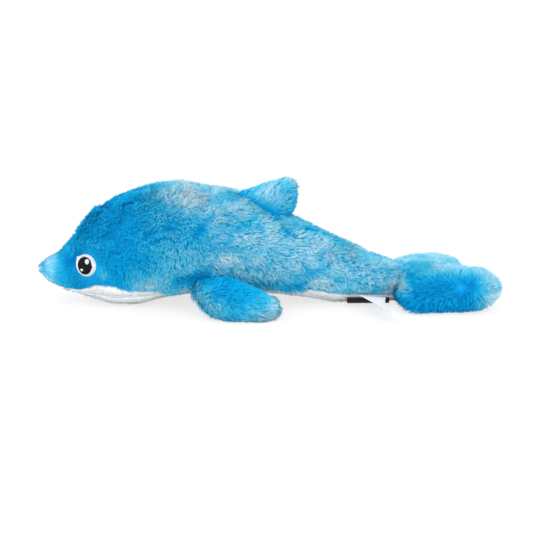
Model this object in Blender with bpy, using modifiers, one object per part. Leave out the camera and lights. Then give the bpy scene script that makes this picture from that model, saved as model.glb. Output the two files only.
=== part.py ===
"""A plush dolphin, sewn from blue long-pile plush with a white short-pile belly, and stuffed.

The toy lies on its belly. Its nose points to -X and its dorsal fin to +Z. The origin is the middle of its
bounding box, on the surface that it lies on. Every cut panel is a shell of its own, and lies a seam's width
from its neighbours. The stuffing of the body and of each fin is a solid of its own inside the panels.

Station tables are in millimetres, and the meshes are in metres.
"""

import math
from typing import NamedTuple

import bmesh
import bpy
import numpy as np
from mathutils import Matrix, Vector

MM = 0.001

# Main sizes of the body, in millimetres. The tables below are the pattern, and they grow with these.
BODY_LENGTH = 237.0
BODY_WIDTH = 74.4
BODY_HEIGHT = 75.4
PATTERN_SIZE = (237.0, 74.4, 75.4)  # length, width and height of the body as the pattern is drawn
GROWTH = np.divide((BODY_LENGTH, BODY_WIDTH, BODY_HEIGHT), PATTERN_SIZE)

# Cloth and seams, in millimetres
PLUSH_THICKNESS = 3.0  # backing and pressed pile of the body's cloth
FIN_PLUSH_THICKNESS = 2.4
SEAM_GAP = 0.4
STUFFING_CLEARANCE = 0.9
SEWN_ON_CLEARANCE = 0.35  # between a sewn-on piece and the body

# Body section
WIDEST_SHARE = 0.42  # height of the widest point, as a share of the section's height
UPPER_FULLNESS = 2.1  # exponents of the section: 2 is an ellipse, and more is boxier
LOWER_FULLNESS = 2.6
NOSE_ROUNDING = 6.5  # length over which the snout closes

# Where the white belly begins under the snout, from the nose
STRIP_START = 15.0 * GROWTH[0]
GUSSET_START = 21.0 * GROWTH[0]

# How finely the lofts are cut
BODY_STEP = 9.0
NOSE_ROWS = 5
SIDE_COLUMNS = 8
STRIP_COLUMNS = 2
GUSSET_COLUMNS = 5
STUFFING_COLUMNS = 18
CUTTER_COLUMNS = 40
FIN_ROWS = 10
FIN_COLUMNS = 8

# Small distance used to measure a surface's slope
SLOPE_STEP = 0.02
NOSE_STEP = 0.001
WELD_DISTANCE = 1e-6
SHARP_ANGLE = 50.0  # degrees between faces, above which an edge is drawn sharp


class BodyStation(NamedTuple):
    """One section of the body, in millimetres and degrees. Seams are measured round from the keel.

    The surface that the toy lies on cuts off what is below it, so a bottom under 0 gives a flat strip.
    """

    from_nose: float
    top: float
    bottom: float
    half_width: float
    side_seam: float
    gusset_seam: float


BODY_PATTERN = [
    BodyStation(0, 28.6, 17.2, 5.2, 0, 0),
    BodyStation(6, 31.0, 12.2, 9.0, 0, 0),
    BodyStation(12, 34.6, 9.2, 12.4, 4, 0),
    BodyStation(18, 40.0, 7.2, 15.6, 36, 4),
    BodyStation(24, 46.8, 5.6, 19.0, 47, 24),
    BodyStation(30, 54.0, 4.2, 22.2, 61, 36),
    BodyStation(37, 59.4, 2.4, 25.2, 71, 43),
    BodyStation(46, 64.0, 0.0, 28.4, 73, 48),
    BodyStation(56, 68.2, -0.6, 31.0, 66, 49),
    BodyStation(66, 71.8, 0.6, 33.0, 60, 45),
    BodyStation(78, 75.2, 3.8, 35.2, 50, 36),
    BodyStation(90, 75.4, 6.2, 36.8, 45, 32),
    BodyStation(104, 72.4, 7.4, 37.2, 43, 31),
    BodyStation(118, 70.4, 7.6, 37.0, 43, 31),
    BodyStation(132, 67.4, 7.2, 35.8, 47, 33),
    BodyStation(146, 60.6, 6.4, 33.8, 53, 37),
    BodyStation(160, 53.4, 5.0, 31.2, 59, 40),
    BodyStation(175, 47.0, 2.6, 28.2, 63, 43),
    BodyStation(190, 39.6, -0.2, 25.2, 65, 45),
    BodyStation(205, 32.8, -0.8, 22.0, 67, 46),
    BodyStation(220, 25.8, -0.8, 18.6, 69, 47),
    BodyStation(230, 22.8, -0.8, 16.0, 70, 47),
    BodyStation(237, 21.6, -0.8, 14.2, 70, 47),
]


def grown_body(pattern):
    """The pattern's sections at the size of the toy."""
    along, across, up = GROWTH
    grown = []
    for s in pattern:
        place, width = s.from_nose * along, s.half_width * across
        grown.append(s._replace(from_nose=place, top=s.top * up, bottom=s.bottom * up, half_width=width))
    return grown


BODY = grown_body(BODY_PATTERN)
TAIL_END = BODY[-1].from_nose


class FinStation(NamedTuple):
    """One chord of a fin, in millimetres: its two edges from the fin's anchor, and half its thickness."""

    leading: tuple
    trailing: tuple
    half_thickness: float


def grown_chord(station):
    """A chord of the pattern at the size of the toy."""
    leading, trailing = (tuple(np.multiply(edge, GROWTH)) for edge in (station.leading, station.trailing))
    return FinStation(leading, trailing, station.half_thickness * GROWTH[2])


# The dorsal fin leans back. Its anchor is on the ridge at its front end.
DORSAL_FROM_NOSE = 127.0 * GROWTH[0]
DORSAL_FIN = [
    FinStation((-3.0, 0, -7.0), (33.0, 0, -23.0), 11.5),
    FinStation((0.0, 0, 0.2), (34.5, 0, -13.4), 10.5),
    FinStation((8.5, 0, 3.0), (36.5, 0, -7.0), 9.5),
    FinStation((17.0, 0, 5.6), (37.2, 0, -1.6), 8.6),
    FinStation((23.8, 0, 7.4), (37.2, 0, 2.6), 7.6),
    FinStation((28.3, 0, 8.6), (36.8, 0, 4.6), 6.6),
    FinStation((30.6, 0, 9.2), (37.2, 0, 5.4), 6.0),
]

# The left flipper droops out, back and down to the floor. Its anchor is on the middle plane, at floor height.
FLIPPER_FROM_NOSE = 97.5 * GROWTH[0]
FLIPPER = [
    FinStation((0.0, -26.0, 15.0), (17.0, -26.0, 22.0), 6.0),
    FinStation((1.0, -37.0, 12.4), (22.0, -36.0, 23.0), 7.2),
    FinStation((6.5, -47.0, 6.4), (30.0, -42.0, 22.0), 8.2),
    FinStation((17.0, -54.0, 3.0), (37.0, -46.0, 19.5), 8.8),
    FinStation((30.5, -57.5, 1.8), (44.5, -48.0, 16.5), 8.4),
    FinStation((43.0, -57.5, 1.8), (51.5, -50.0, 12.5), 7.6),
    FinStation((50.0, -56.5, 2.6), (55.0, -52.0, 10.0), 6.6),
]

# The tail fluke runs from side to side, and its middle closes the end of the tail. Its anchor is on the
# middle plane at the end of the tail, at floor height. The left lobe is plump. The right one is flatter.
FLUKE_LEFT_TIP_TO_MIDDLE = [
    FinStation((17.0, -48.5, 13.0), (41.5, -48.5, 13.0), 9.4),
    FinStation((2.0, -42.0, 13.0), (48.5, -42.0, 13.0), 12.0),
    FinStation((-11.0, -35.0, 13.0), (49.0, -35.0, 13.0), 12.9),
    FinStation((-12.0, -26.0, 13.0), (45.0, -26.0, 13.0), 12.9),
    FinStation((-8.0, -14.0, 12.8), (36.0, -14.0, 12.8), 12.0),
]
FLUKE_MIDDLE = FinStation((-4.5, 0.0, 12.2), (26.0, 0.0, 12.2), 10.4)
FLUKE_MIDDLE_TO_RIGHT_TIP = [
    FinStation((-6.0, 14.0, 11.0), (36.0, 14.0, 11.0), 9.8),
    FinStation((-5.0, 26.0, 9.8), (45.0, 26.0, 9.8), 9.2),
    FinStation((-0.5, 35.0, 9.2), (49.0, 35.0, 9.2), 8.8),
    FinStation((8.0, 42.0, 8.6), (48.5, 42.0, 8.6), 8.2),
    FinStation((19.0, 48.5, 8.0), (41.5, 48.5, 8.0), 7.2),
]
FLUKE_TURN = 12.5  # degrees: the soft fluke lies turned, with its left half further back
FLUKE_SHIFT = 4.0  # the tail leans to the left
FIN_TIP_ROUNDING = 0.22  # share of a fin's span over which its tip closes

# Embroidered eyes
EYE_FROM_NOSE = 31.3 * GROWTH[0]
EYE_TURN = 84.0  # degrees round from the ridge
EYE_WIDTH = 14.8
EYE_HEIGHT = 15.0
EYE_STAND = 2.0  # how far the white stands out of the plush
EYE_SINK = 3.0  # how deep the white's blank reaches before the head is cut from it
PUPIL_WIDTH = 10.4
PUPIL_HEIGHT = 11.6
PUPIL_THICKNESS = 0.8
THREAD_GAP = 0.3
LARGE_HIGHLIGHT_SIZE = (2.5, 3.5)
LARGE_HIGHLIGHT_PLACE = (1.9, 2.8)  # towards the tail, and up, from the pupil's middle
SMALL_HIGHLIGHT_SIZE = (2.0, 2.0)
SMALL_HIGHLIGHT_PLACE = (-1.7, -2.6)
HIGHLIGHT_THICKNESS = 0.5
THREAD_BEVEL = 0.25
THREAD_SIDES = 24

# Labels, sewn into the left seams near the tail
LABEL_THICKNESS = 0.5
LABEL_CLEARANCE = 0.4  # between a label's sewn edge and the seam
LABEL_ROWS = 12
BLACK_LABEL_FROM_NOSE = 210.5 * GROWTH[0]
BLACK_LABEL_WIDTH = 28.0
BLACK_LABEL_REACH = 6.0
BLACK_LABEL_RISE = 1.5
WHITE_LABEL_FROM_NOSE = 214.5 * GROWTH[0]
WHITE_LABEL_WIDTH = 17.0
WHITE_LABEL_REACH = 40.0  # straight out from the seam
WHITE_LABEL_DRIFT = 7.0  # towards the tail
WHITE_LABEL_TWIST = 57.0  # degrees: its rear corner turns down to the floor

# Cloth colours: red, green, blue and alpha, in linear light
BLUE_PLUSH = (0.05, 0.33, 0.62, 1.0)
WHITE_PLUSH = (0.78, 0.80, 0.80, 1.0)
FILLING = (0.86, 0.86, 0.84, 1.0)
WHITE_THREAD = (0.85, 0.87, 0.88, 1.0)
BLACK_THREAD = (0.012, 0.011, 0.012, 1.0)
WHITE_SATIN = (0.86, 0.87, 0.88, 1.0)
BLACK_SATIN = (0.012, 0.012, 0.013, 1.0)


def clear_scene():
    """Removes what the scene holds."""
    for obj in list(bpy.data.objects):
        bpy.data.objects.remove(obj, do_unlink=True)


def new_collection(name):
    """A collection linked to the scene."""
    collection = bpy.data.collections.new(name)
    bpy.context.scene.collection.children.link(collection)
    return collection


def cloth(name, colour, roughness):
    """A plain Principled material."""
    material = bpy.data.materials.new(name)
    material.use_nodes = True
    shader = material.node_tree.nodes["Principled BSDF"]
    shader.inputs["Base Color"].default_value = colour
    shader.inputs["Roughness"].default_value = roughness
    shader.inputs["Metallic"].default_value = 0.0
    return material


def smooth_through(places, values, at):
    """A smooth curve through the values that never swings past them, read at one or more places."""
    places = np.asarray(places, float)
    values = np.asarray(values, float)
    widths = np.diff(places)
    slopes = np.diff(values) / widths
    tangents = np.zeros(len(places))
    tangents[0], tangents[-1] = slopes[0], slopes[-1]
    for i in range(1, len(places) - 1):
        before, after = slopes[i - 1], slopes[i]
        if before * after > 0:
            first = 2 * widths[i] + widths[i - 1]
            second = widths[i] + 2 * widths[i - 1]
            tangents[i] = (first + second) / (first / before + second / after)
    at = np.clip(at, places[0], places[-1])
    i = np.clip(np.searchsorted(places, at, side="right") - 1, 0, len(widths) - 1)
    t = (at - places[i]) / widths[i]
    start = values[i] * (1 + 2 * t) * (1 - t) ** 2 + tangents[i] * widths[i] * t * (1 - t) ** 2
    end = values[i + 1] * t * t * (3 - 2 * t) - tangents[i + 1] * widths[i] * t * t * (1 - t)
    return start + end


def body_value(field, from_nose):
    """A measure of the body at a distance from the nose."""
    return smooth_through([s.from_nose for s in BODY], [getattr(s, field) for s in BODY], from_nose)


def round_power(value, fullness):
    """A signed power of a sine or cosine, which turns a circle into a fuller section."""
    return np.sign(value) * np.abs(value) ** (2 / fullness)


def body_outside(from_nose, turn):
    """Points on the body's outer surface.

    turn is 0 on the ridge, a quarter turn on the left, and half a turn on the keel.
    """
    from_nose, turn = np.broadcast_arrays(np.asarray(from_nose, float), np.asarray(turn, float))
    top = body_value("top", from_nose)
    bottom = body_value("bottom", from_nose)
    widest = bottom + WIDEST_SHARE * (top - bottom)
    left = 1 - np.clip(from_nose / NOSE_ROUNDING, 0, 1)
    closing = np.sqrt(1 - left**2)
    upper = np.cos(turn) > 0
    fullness = np.where(upper, UPPER_FULLNESS, LOWER_FULLNESS)
    reach = np.where(upper, top - widest, widest - bottom)
    across = -body_value("half_width", from_nose) * closing * round_power(np.sin(turn), fullness)
    height = widest + reach * closing * round_power(np.cos(turn), fullness)
    return np.stack([from_nose, across, np.maximum(height, 0.0)], -1)


def body_point(from_nose, turn, out=0.0):
    """Points at a distance outside the body's surface, with the nose at X = 0."""
    from_nose, turn = np.broadcast_arrays(np.asarray(from_nose, float), np.asarray(turn, float))
    step = SLOPE_STEP * np.clip(from_nose, NOSE_STEP, 1.0)
    lengthways = body_outside(from_nose + step, turn) - body_outside(from_nose - step, turn)
    around = body_outside(from_nose, turn + SLOPE_STEP) - body_outside(from_nose, turn - SLOPE_STEP)
    normals = np.cross(around, lengthways)
    normals = normals / np.maximum(np.linalg.norm(normals, axis=-1, keepdims=True), 1e-12)
    normals[np.isclose(from_nose, 0.0)] = (-1.0, 0.0, 0.0)
    return body_outside(from_nose, turn) + out * normals


def seam_angle(field, from_nose):
    """The turn of a seam on the left side."""
    return math.pi - np.radians(body_value(field, from_nose))


def half_seam(from_nose, turn):
    """Half the seam's gap, as a turn round the body."""
    around = body_outside(from_nose, turn + SLOPE_STEP) - body_outside(from_nose, turn - SLOPE_STEP)
    speed = np.linalg.norm(around, axis=-1) / (2 * SLOPE_STEP)
    return SEAM_GAP / 2 / np.maximum(speed, 1.0)


def body_rows(start):
    """Distances from the nose at which the body is cut into rows, closer together at the nose."""
    nose = NOSE_ROUNDING * (1 - np.cos(np.linspace(0, math.pi / 2, NOSE_ROWS + 1)))
    count = max(2, round((TAIL_END - NOSE_ROUNDING) / BODY_STEP))
    rest = np.linspace(NOSE_ROUNDING, TAIL_END, count + 1)[1:]
    rows = np.concatenate([nose, rest])
    after = rows[rows > start + BODY_STEP / 3]
    return np.concatenate([[start], after])


def mesh_object(name, vertices, faces, material, collection):
    """An object from points in millimetres and faces, with doubled points made one and normals outwards."""
    mesh = bpy.data.meshes.new(name)
    made = bmesh.new()
    points = [made.verts.new(Vector(p) * MM) for p in np.reshape(vertices, (-1, 3))]
    for face in faces:
        made.faces.new([points[i] for i in face])
    bmesh.ops.remove_doubles(made, verts=made.verts, dist=WELD_DISTANCE)
    bmesh.ops.recalc_face_normals(made, faces=made.faces)
    made.to_mesh(mesh)
    made.free()
    mesh.shade_smooth()
    mesh.set_sharp_from_angle(angle=math.radians(SHARP_ANGLE))
    obj = bpy.data.objects.new(name, mesh)
    mesh.materials.append(material)
    collection.objects.link(obj)
    return obj


def shell(name, outer, inner, material, collection):
    """A closed panel of cloth between an outer and an inner grid of points."""
    rows, columns = outer.shape[:2]
    inside = rows * columns

    def at(row, column):
        return row * columns + column

    faces = []
    for r in range(rows - 1):
        for c in range(columns - 1):
            quad = [at(r, c), at(r, c + 1), at(r + 1, c + 1), at(r + 1, c)]
            faces.append(quad)
            faces.append([inside + i for i in reversed(quad)])
    edge = [at(0, c) for c in range(columns)]
    edge += [at(r, columns - 1) for r in range(1, rows)]
    edge += [at(rows - 1, c) for c in range(columns - 2, -1, -1)]
    edge += [at(r, 0) for r in range(rows - 2, 0, -1)]
    for here, after in zip(edge, edge[1:] + edge[:1], strict=True):
        faces.append([after, here, inside + here, inside + after])
    points = np.concatenate([outer.reshape(-1, 3), inner.reshape(-1, 3)])
    return mesh_object(name, points, faces, material, collection)


def closed_loft(name, rings, material, collection):
    """A closed solid through rings of points, with its ends capped."""
    rows, columns = rings.shape[:2]
    faces = []
    for r in range(rows - 1):
        for c in range(columns):
            after = (c + 1) % columns
            here, above = r * columns, (r + 1) * columns
            faces.append([here + c, here + after, above + after, above + c])
    first, last = range(columns), range((rows - 1) * columns, rows * columns)
    for cap, ring in ((first, rings[0]), (last, rings[-1])):
        if np.ptp(ring, axis=0).max() > WELD_DISTANCE / MM:
            faces.append(list(cap))
    return mesh_object(name, rings, faces, material, collection)


def body_panel(name, start, turns, columns, side, material, collection):
    """A panel of the body's skin between two seams.

    side is -1 on the left, 1 on the right and 0 across the keel.
    """
    rows = body_rows(start)
    low, high = turns(rows)
    share = np.linspace(0, 1, columns + 1)
    turn = low[:, None] + (high - low)[:, None] * share[None, :]
    if side > 0:
        turn = 2 * math.pi - turn
    from_nose = np.repeat(rows[:, None], columns + 1, axis=1)
    apart = np.array((0.0, side * SEAM_GAP / 2, 0.0))
    outer = body_point(from_nose, turn) + apart
    inner = body_point(from_nose, turn, out=-PLUSH_THICKNESS) + apart
    return shell(name, outer, inner, material, collection)


def side_turns(rows):
    """From the ridge to the side seam."""
    seam = seam_angle("side_seam", rows)
    stop = np.where(body_value("side_seam", rows) > 0, seam - half_seam(rows, seam), math.pi)
    return np.zeros(len(rows)), stop


def strip_turns(rows):
    """From the side seam to the gusset seam, which is the keel where there is no gusset yet."""
    side = seam_angle("side_seam", rows)
    gusset = seam_angle("gusset_seam", rows)
    return side + half_seam(rows, side), gusset - half_seam(rows, gusset)


def gusset_turns(rows):
    """Across the keel, from the left gusset seam to the right one."""
    seam = seam_angle("gusset_seam", rows)
    start = seam + half_seam(rows, seam)
    return start, 2 * math.pi - start


def make_body(blue, white, filling, collection):
    """The body's skin of five panels, and its stuffing."""
    for side, word in ((-1, "left"), (1, "right")):
        body_panel(f"{word}_side_panel", 0.0, side_turns, SIDE_COLUMNS, side, blue, collection)
        body_panel(f"{word}_belly_strip", STRIP_START, strip_turns, STRIP_COLUMNS, side, white, collection)
    body_panel("belly_gusset", GUSSET_START, gusset_turns, GUSSET_COLUMNS, 0, white, collection)
    inset = PLUSH_THICKNESS + STUFFING_CLEARANCE
    rows = body_rows(NOSE_ROUNDING)
    rows[-1] = TAIL_END - inset
    turn = np.linspace(0, 2 * math.pi, STUFFING_COLUMNS, endpoint=False)
    closed_loft("body_stuffing", body_point(rows[:, None], turn[None, :], out=-inset), filling, collection)


def make_body_cutter(collection):
    """The body's outer form and a clearance, which is cut from what is sewn on it."""
    rows = body_rows(0.0)
    turn = np.linspace(0, 2 * math.pi, CUTTER_COLUMNS, endpoint=False)
    rings = body_point(rows[:, None], turn[None, :], out=SEWN_ON_CLEARANCE)
    rings[-1, :, 0] += SEWN_ON_CLEARANCE
    cutter = closed_loft("body_cutter", rings, None, collection)
    cutter.hide_render = True
    cutter.display_type = "WIRE"
    return cutter


def cut(obj, cutter):
    """Takes the cutter's form out of an object."""
    boolean = obj.modifiers.new("seat", "BOOLEAN")
    boolean.operation = "DIFFERENCE"
    boolean.solver = "EXACT"
    boolean.object = cutter


class Fin:
    """The surface of a fin: a lens-shaped section swept along its stations, with one or two closed tips."""

    def __init__(self, stations, anchor, thickness_way, both_tips=False):
        self.stations = [grown_chord(s) for s in stations]
        self.anchor = np.asarray(anchor, float)
        self.way = np.asarray(thickness_way, float)
        self.way = self.way / np.linalg.norm(self.way)
        self.both_tips = both_tips
        self.places = np.linspace(0, 1, len(stations))

    def through(self, values, along):
        """A measure of the stations, read along the span."""
        return smooth_through(self.places, values, along)

    def edge(self, which, along):
        """Points on the leading or trailing edge."""
        points = np.array([getattr(s, which) for s in self.stations], float)
        return np.stack([self.through(points[:, k], along) for k in range(3)], -1)

    def span(self):
        """The length of the fin, from its root to its tip or from tip to tip."""
        middles = [(np.asarray(s.leading, float) + s.trailing) / 2 for s in self.stations]
        return float(np.sum(np.linalg.norm(np.diff(middles, axis=0), axis=1)))

    def surface(self, along, turn, inset=0.0, lift=0.0):
        """Points on the fin, or inset from it, lifted along the thickness. turn is 0 on the leading edge."""
        along, turn = np.broadcast_arrays(np.asarray(along, float), np.asarray(turn, float))
        from_tip = np.minimum(along, 1 - along) if self.both_tips else 1 - along
        into_tip = np.clip(1 - from_tip / FIN_TIP_ROUNDING, 0, 1)
        drawn_in = np.where(along < 0.5, 1, -1) * into_tip * inset / self.span()
        along = along + drawn_in
        leading, trailing = self.edge("leading", along), self.edge("trailing", along)
        half_chord = (leading - trailing) / 2
        half_chord -= inset * half_chord / np.linalg.norm(half_chord, axis=-1, keepdims=True)
        thick = self.through([s.half_thickness for s in self.stations], along)[..., None] - inset
        section = half_chord * np.cos(turn)[..., None] + self.way * thick * np.sin(turn)[..., None]
        closing = np.sqrt(1 - into_tip**2)[..., None]
        point = (leading + trailing) / 2 + section * closing + self.anchor + lift * self.way
        point[..., 2] = np.maximum(point[..., 2], inset)
        return point

    def rows(self):
        """Places along the span at which the fin is cut into rows, closer together at a closed tip."""
        bend = np.linspace(0, math.pi / 2, FIN_ROWS // 2 + 1)
        tip = 1 - FIN_TIP_ROUNDING * (1 - np.sin(bend))
        if self.both_tips:
            half = np.concatenate([np.linspace(0.5, tip[0], FIN_ROWS // 2 + 1)[:-1], tip])
            return np.concatenate([1 - half[:0:-1], half])
        return np.concatenate([np.linspace(0, tip[0], FIN_ROWS // 2 + 1)[:-1], tip])

    def panel(self, name, half, material, collection):
        """One of the two panels. half is 1 on the side that the thickness points to, and -1 on the other."""
        turn = half * np.linspace(0, math.pi, FIN_COLUMNS + 1)
        along = self.rows()[:, None]
        lift = half * SEAM_GAP / 2
        outer = self.surface(along, turn[None, :], lift=lift)
        inner = self.surface(along, turn[None, :], inset=FIN_PLUSH_THICKNESS, lift=lift)
        return shell(name, outer, inner, material, collection)

    def stuffing(self, name, material, collection):
        """The filling inside the two panels."""
        inset = FIN_PLUSH_THICKNESS + STUFFING_CLEARANCE
        turn = np.linspace(0, 2 * math.pi, 2 * FIN_COLUMNS, endpoint=False)
        rings = self.surface(self.rows()[:, None], turn[None, :], inset=inset)
        return closed_loft(name, rings, material, collection)


def make_fin(fin, names, materials, cutter, collection):
    """A fin's two panels and its stuffing, seated on the body."""
    blue, filling = materials
    first, second, inside = names
    for obj in (
        fin.panel(first, 1, blue, collection),
        fin.panel(second, -1, blue, collection),
        fin.stuffing(inside, filling, collection),
    ):
        cut(obj, cutter)


def mirrored(stations):
    """The same stations on the other side of the middle plane."""

    def across(point):
        return (point[0], -point[1], point[2])

    return [FinStation(across(s.leading), across(s.trailing), s.half_thickness) for s in stations]


def make_dorsal_fin(blue, filling, cutter, collection):
    """The fin on the ridge of the back."""
    anchor = (DORSAL_FROM_NOSE, 0.0, float(body_value("top", DORSAL_FROM_NOSE)))
    fin = Fin(DORSAL_FIN, anchor, (0.0, -1.0, 0.0))
    names = ("dorsal_fin_left_panel", "dorsal_fin_right_panel", "dorsal_fin_stuffing")
    make_fin(fin, names, (blue, filling), cutter, collection)


def make_flippers(blue, filling, cutter, collection):
    """The two flippers."""
    anchor = (FLIPPER_FROM_NOSE, 0.0, 0.0)
    middle = FLIPPER[len(FLIPPER) // 2]
    chord = np.subtract(middle.trailing, middle.leading)
    span = np.subtract(FLIPPER[-1].leading, FLIPPER[0].leading)
    way = np.cross(chord, span)
    way *= np.sign(way[2])
    for word, side in (("left", 1), ("right", -1)):
        stations = FLIPPER if side > 0 else mirrored(FLIPPER)
        fin = Fin(stations, anchor, way * (1, side, 1))
        names = (f"{word}_flipper_upper_panel", f"{word}_flipper_lower_panel", f"{word}_flipper_stuffing")
        make_fin(fin, names, (blue, filling), cutter, collection)


def turned(stations, degrees):
    """The same stations, turned round the anchor so that the left side moves back."""
    turn = math.radians(degrees)

    def back(point):
        along = point[0] * math.cos(turn) - point[1] * math.sin(turn)
        across = point[1] * math.cos(turn) + point[0] * math.sin(turn)
        return (along, across, point[2])

    return [FinStation(back(s.leading), back(s.trailing), s.half_thickness) for s in stations]


def make_fluke(blue, filling, cutter, collection):
    """The tail fluke, in one piece from tip to tip."""
    straight = [*FLUKE_LEFT_TIP_TO_MIDDLE, FLUKE_MIDDLE, *FLUKE_MIDDLE_TO_RIGHT_TIP]
    stations = turned(straight, FLUKE_TURN)
    fin = Fin(stations, (TAIL_END, -FLUKE_SHIFT, 0.0), (0.0, 0.0, 1.0), both_tips=True)
    names = ("fluke_upper_panel", "fluke_lower_panel", "fluke_stuffing")
    make_fin(fin, names, (blue, filling), cutter, collection)


def thread_patch(name, size, thickness, frame, material, collection):
    """An oval patch of stitches. Its frame starts at the middle of its back, and Z points out of the head."""
    bpy.ops.mesh.primitive_cylinder_add(vertices=THREAD_SIDES, radius=0.5, depth=1)
    obj = bpy.context.object
    obj.name = obj.data.name = name
    shape = Matrix.Diagonal((size[0] * MM, size[1] * MM, thickness * MM, 1.0))
    obj.data.transform(frame @ Matrix.Translation((0, 0, thickness * MM / 2)) @ shape)
    bevel = obj.modifiers.new("rounded_edge", "BEVEL")
    bevel.width = THREAD_BEVEL * MM
    bevel.segments = 1
    obj.data.materials.append(material)
    for old in list(obj.users_collection):
        old.objects.unlink(obj)
    collection.objects.link(obj)
    return obj


def eye_frame(side):
    """A frame on the head at the eye.

    Y points up and Z out. X points to the tail on the left side, and to the nose on the right.
    """
    turn = math.radians(EYE_TURN)
    on_head = body_point(EYE_FROM_NOSE, turn)
    out = body_point(EYE_FROM_NOSE, turn, out=1.0) - on_head
    mirror = np.array((1.0, -side, 1.0))
    out = Vector(out * mirror).normalized()
    up = (Vector((0, 0, 1)) - out * out.z).normalized()
    axes = Matrix((up.cross(out), up, out)).transposed().to_4x4()
    return Matrix.Translation(Vector(on_head * mirror) * MM) @ axes


def make_eye(side, word, white, black, cutter, collection):
    """An embroidered eye: the white, the pupil and its two highlights."""
    frame = eye_frame(side)

    def raised(height, place=(0.0, 0.0)):
        return frame @ Matrix.Translation(Vector((*place, height)) * MM)

    size, thickness = (EYE_WIDTH, EYE_HEIGHT), EYE_STAND + EYE_SINK
    blank = thread_patch(f"{word}_eye_white", size, thickness, raised(-EYE_SINK), white, collection)
    cut(blank, cutter)
    pupil_back, size = EYE_STAND + THREAD_GAP, (PUPIL_WIDTH, PUPIL_HEIGHT)
    thread_patch(f"{word}_pupil", size, PUPIL_THICKNESS, raised(pupil_back), black, collection)
    highlight_back = pupil_back + PUPIL_THICKNESS + THREAD_GAP
    for name, size, place in (
        ("large_highlight", LARGE_HIGHLIGHT_SIZE, LARGE_HIGHLIGHT_PLACE),
        ("small_highlight", SMALL_HIGHLIGHT_SIZE, SMALL_HIGHLIGHT_PLACE),
    ):
        frame_here = raised(highlight_back, (-side * place[0], place[1]))
        thread_patch(f"{word}_{name}", size, HIGHLIGHT_THICKNESS, frame_here, white, collection)


def label_strip(name, middles, widths, material, collection):
    """A strip of satin along a line of middle points, with a width vector at each. All are in millimetres."""
    lengthways = np.gradient(middles, axis=0)
    normals = np.cross(lengthways, widths)
    normals /= np.linalg.norm(normals, axis=1, keepdims=True)
    across, through = widths / 2, normals * LABEL_THICKNESS / 2
    corners = [middles - across - through, middles + across - through]
    corners += [middles + across + through, middles - across + through]
    return closed_loft(name, np.stack(corners, 1), material, collection)


def seam_place(field, from_nose):
    """A point just outside a seam of the left side."""
    out = LABEL_CLEARANCE + LABEL_THICKNESS / 2
    return body_point(from_nose, seam_angle(field, from_nose), out=out)


def seam_run(field, from_nose, width):
    """The middle of a label's sewn edge, and the vector along that edge."""
    front, rear = (seam_place(field, from_nose + share * width) for share in (-0.5, 0.5))
    along = rear - front
    return (front + rear) / 2, along * width / np.linalg.norm(along)


def make_black_label(material, collection):
    """The short label: it stands straight out of the gusset seam, a little way above the floor."""
    start, along = seam_run("gusset_seam", BLACK_LABEL_FROM_NOSE, BLACK_LABEL_WIDTH)
    reach = np.linspace(0, 1, LABEL_ROWS)[:, None]
    line = start + reach * (0.0, -BLACK_LABEL_REACH, BLACK_LABEL_RISE)
    label_strip("black_label", line, np.tile(along, (LABEL_ROWS, 1)), material, collection)


def make_white_label(material, collection):
    """The long label: it leaves the side seam and twists until its rear corner meets the floor."""
    start, along = seam_run("side_seam", WHITE_LABEL_FROM_NOSE, WHITE_LABEL_WIDTH)
    twist = math.radians(WHITE_LABEL_TWIST)
    corner_drop = WHITE_LABEL_WIDTH / 2 * math.sin(twist)
    fall = start[2] - corner_drop - LABEL_THICKNESS
    end = start + (WHITE_LABEL_DRIFT, -WHITE_LABEL_REACH, -fall)
    reach = np.linspace(0, 1, LABEL_ROWS)[:, None]
    line = start + reach * (end - start)
    widths = np.cos(twist * reach) * along + np.sin(twist * reach) * np.array((0.0, 0.0, -WHITE_LABEL_WIDTH))
    label_strip("white_label", line, widths, material, collection)


def centre(toy, cutters):
    """Moves everything so that the origin is under the middle of the toy's bounding box."""
    depsgraph = bpy.context.evaluated_depsgraph_get()
    points = []
    for obj in toy.objects:
        mesh = obj.evaluated_get(depsgraph).to_mesh()
        points += [vertex.co.copy() for vertex in mesh.vertices]
    low, high = np.min(points, axis=0), np.max(points, axis=0)
    shift = Vector((-(low[0] + high[0]) / 2, -(low[1] + high[1]) / 2, 0.0))
    for obj in list(toy.objects) + list(cutters.objects):
        obj.data.transform(Matrix.Translation(shift))


def main():
    """Builds the toy."""
    clear_scene()
    toy = new_collection("plush_dolphin")
    cutters = new_collection("cutters")
    blue = cloth("blue_plush", BLUE_PLUSH, 0.9)
    white = cloth("white_plush", WHITE_PLUSH, 0.9)
    filling = cloth("polyester_filling", FILLING, 0.95)
    white_thread = cloth("white_thread", WHITE_THREAD, 0.55)
    black_thread = cloth("black_thread", BLACK_THREAD, 0.5)
    white_satin = cloth("white_satin", WHITE_SATIN, 0.45)
    black_satin = cloth("black_satin", BLACK_SATIN, 0.5)
    cutter = make_body_cutter(cutters)
    make_body(blue, white, filling, toy)
    make_dorsal_fin(blue, filling, cutter, toy)
    make_flippers(blue, filling, cutter, toy)
    make_fluke(blue, filling, cutter, toy)
    make_eye(1, "right", white_thread, black_thread, cutter, toy)
    make_eye(-1, "left", white_thread, black_thread, cutter, toy)
    make_black_label(black_satin, toy)
    make_white_label(white_satin, toy)
    centre(toy, cutters)


main()
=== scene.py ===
"""The looks of a plush dolphin: dyed long pile, a white belly, embroidered eyes and two sewn-in labels.

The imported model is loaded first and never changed. Every piece made here is closed cloth, thread or filling
that stands where its node of the model is. The pile is real: each strand is a thin spindle that is rooted in
the cloth and bends with the nap. A strand's tone and the place along it are kept in the piece's own map, and
its dye is read from them.

Station tables are in millimetres from the tip of the nose. The scene is in metres.
"""

import itertools
import math
from typing import NamedTuple

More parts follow.
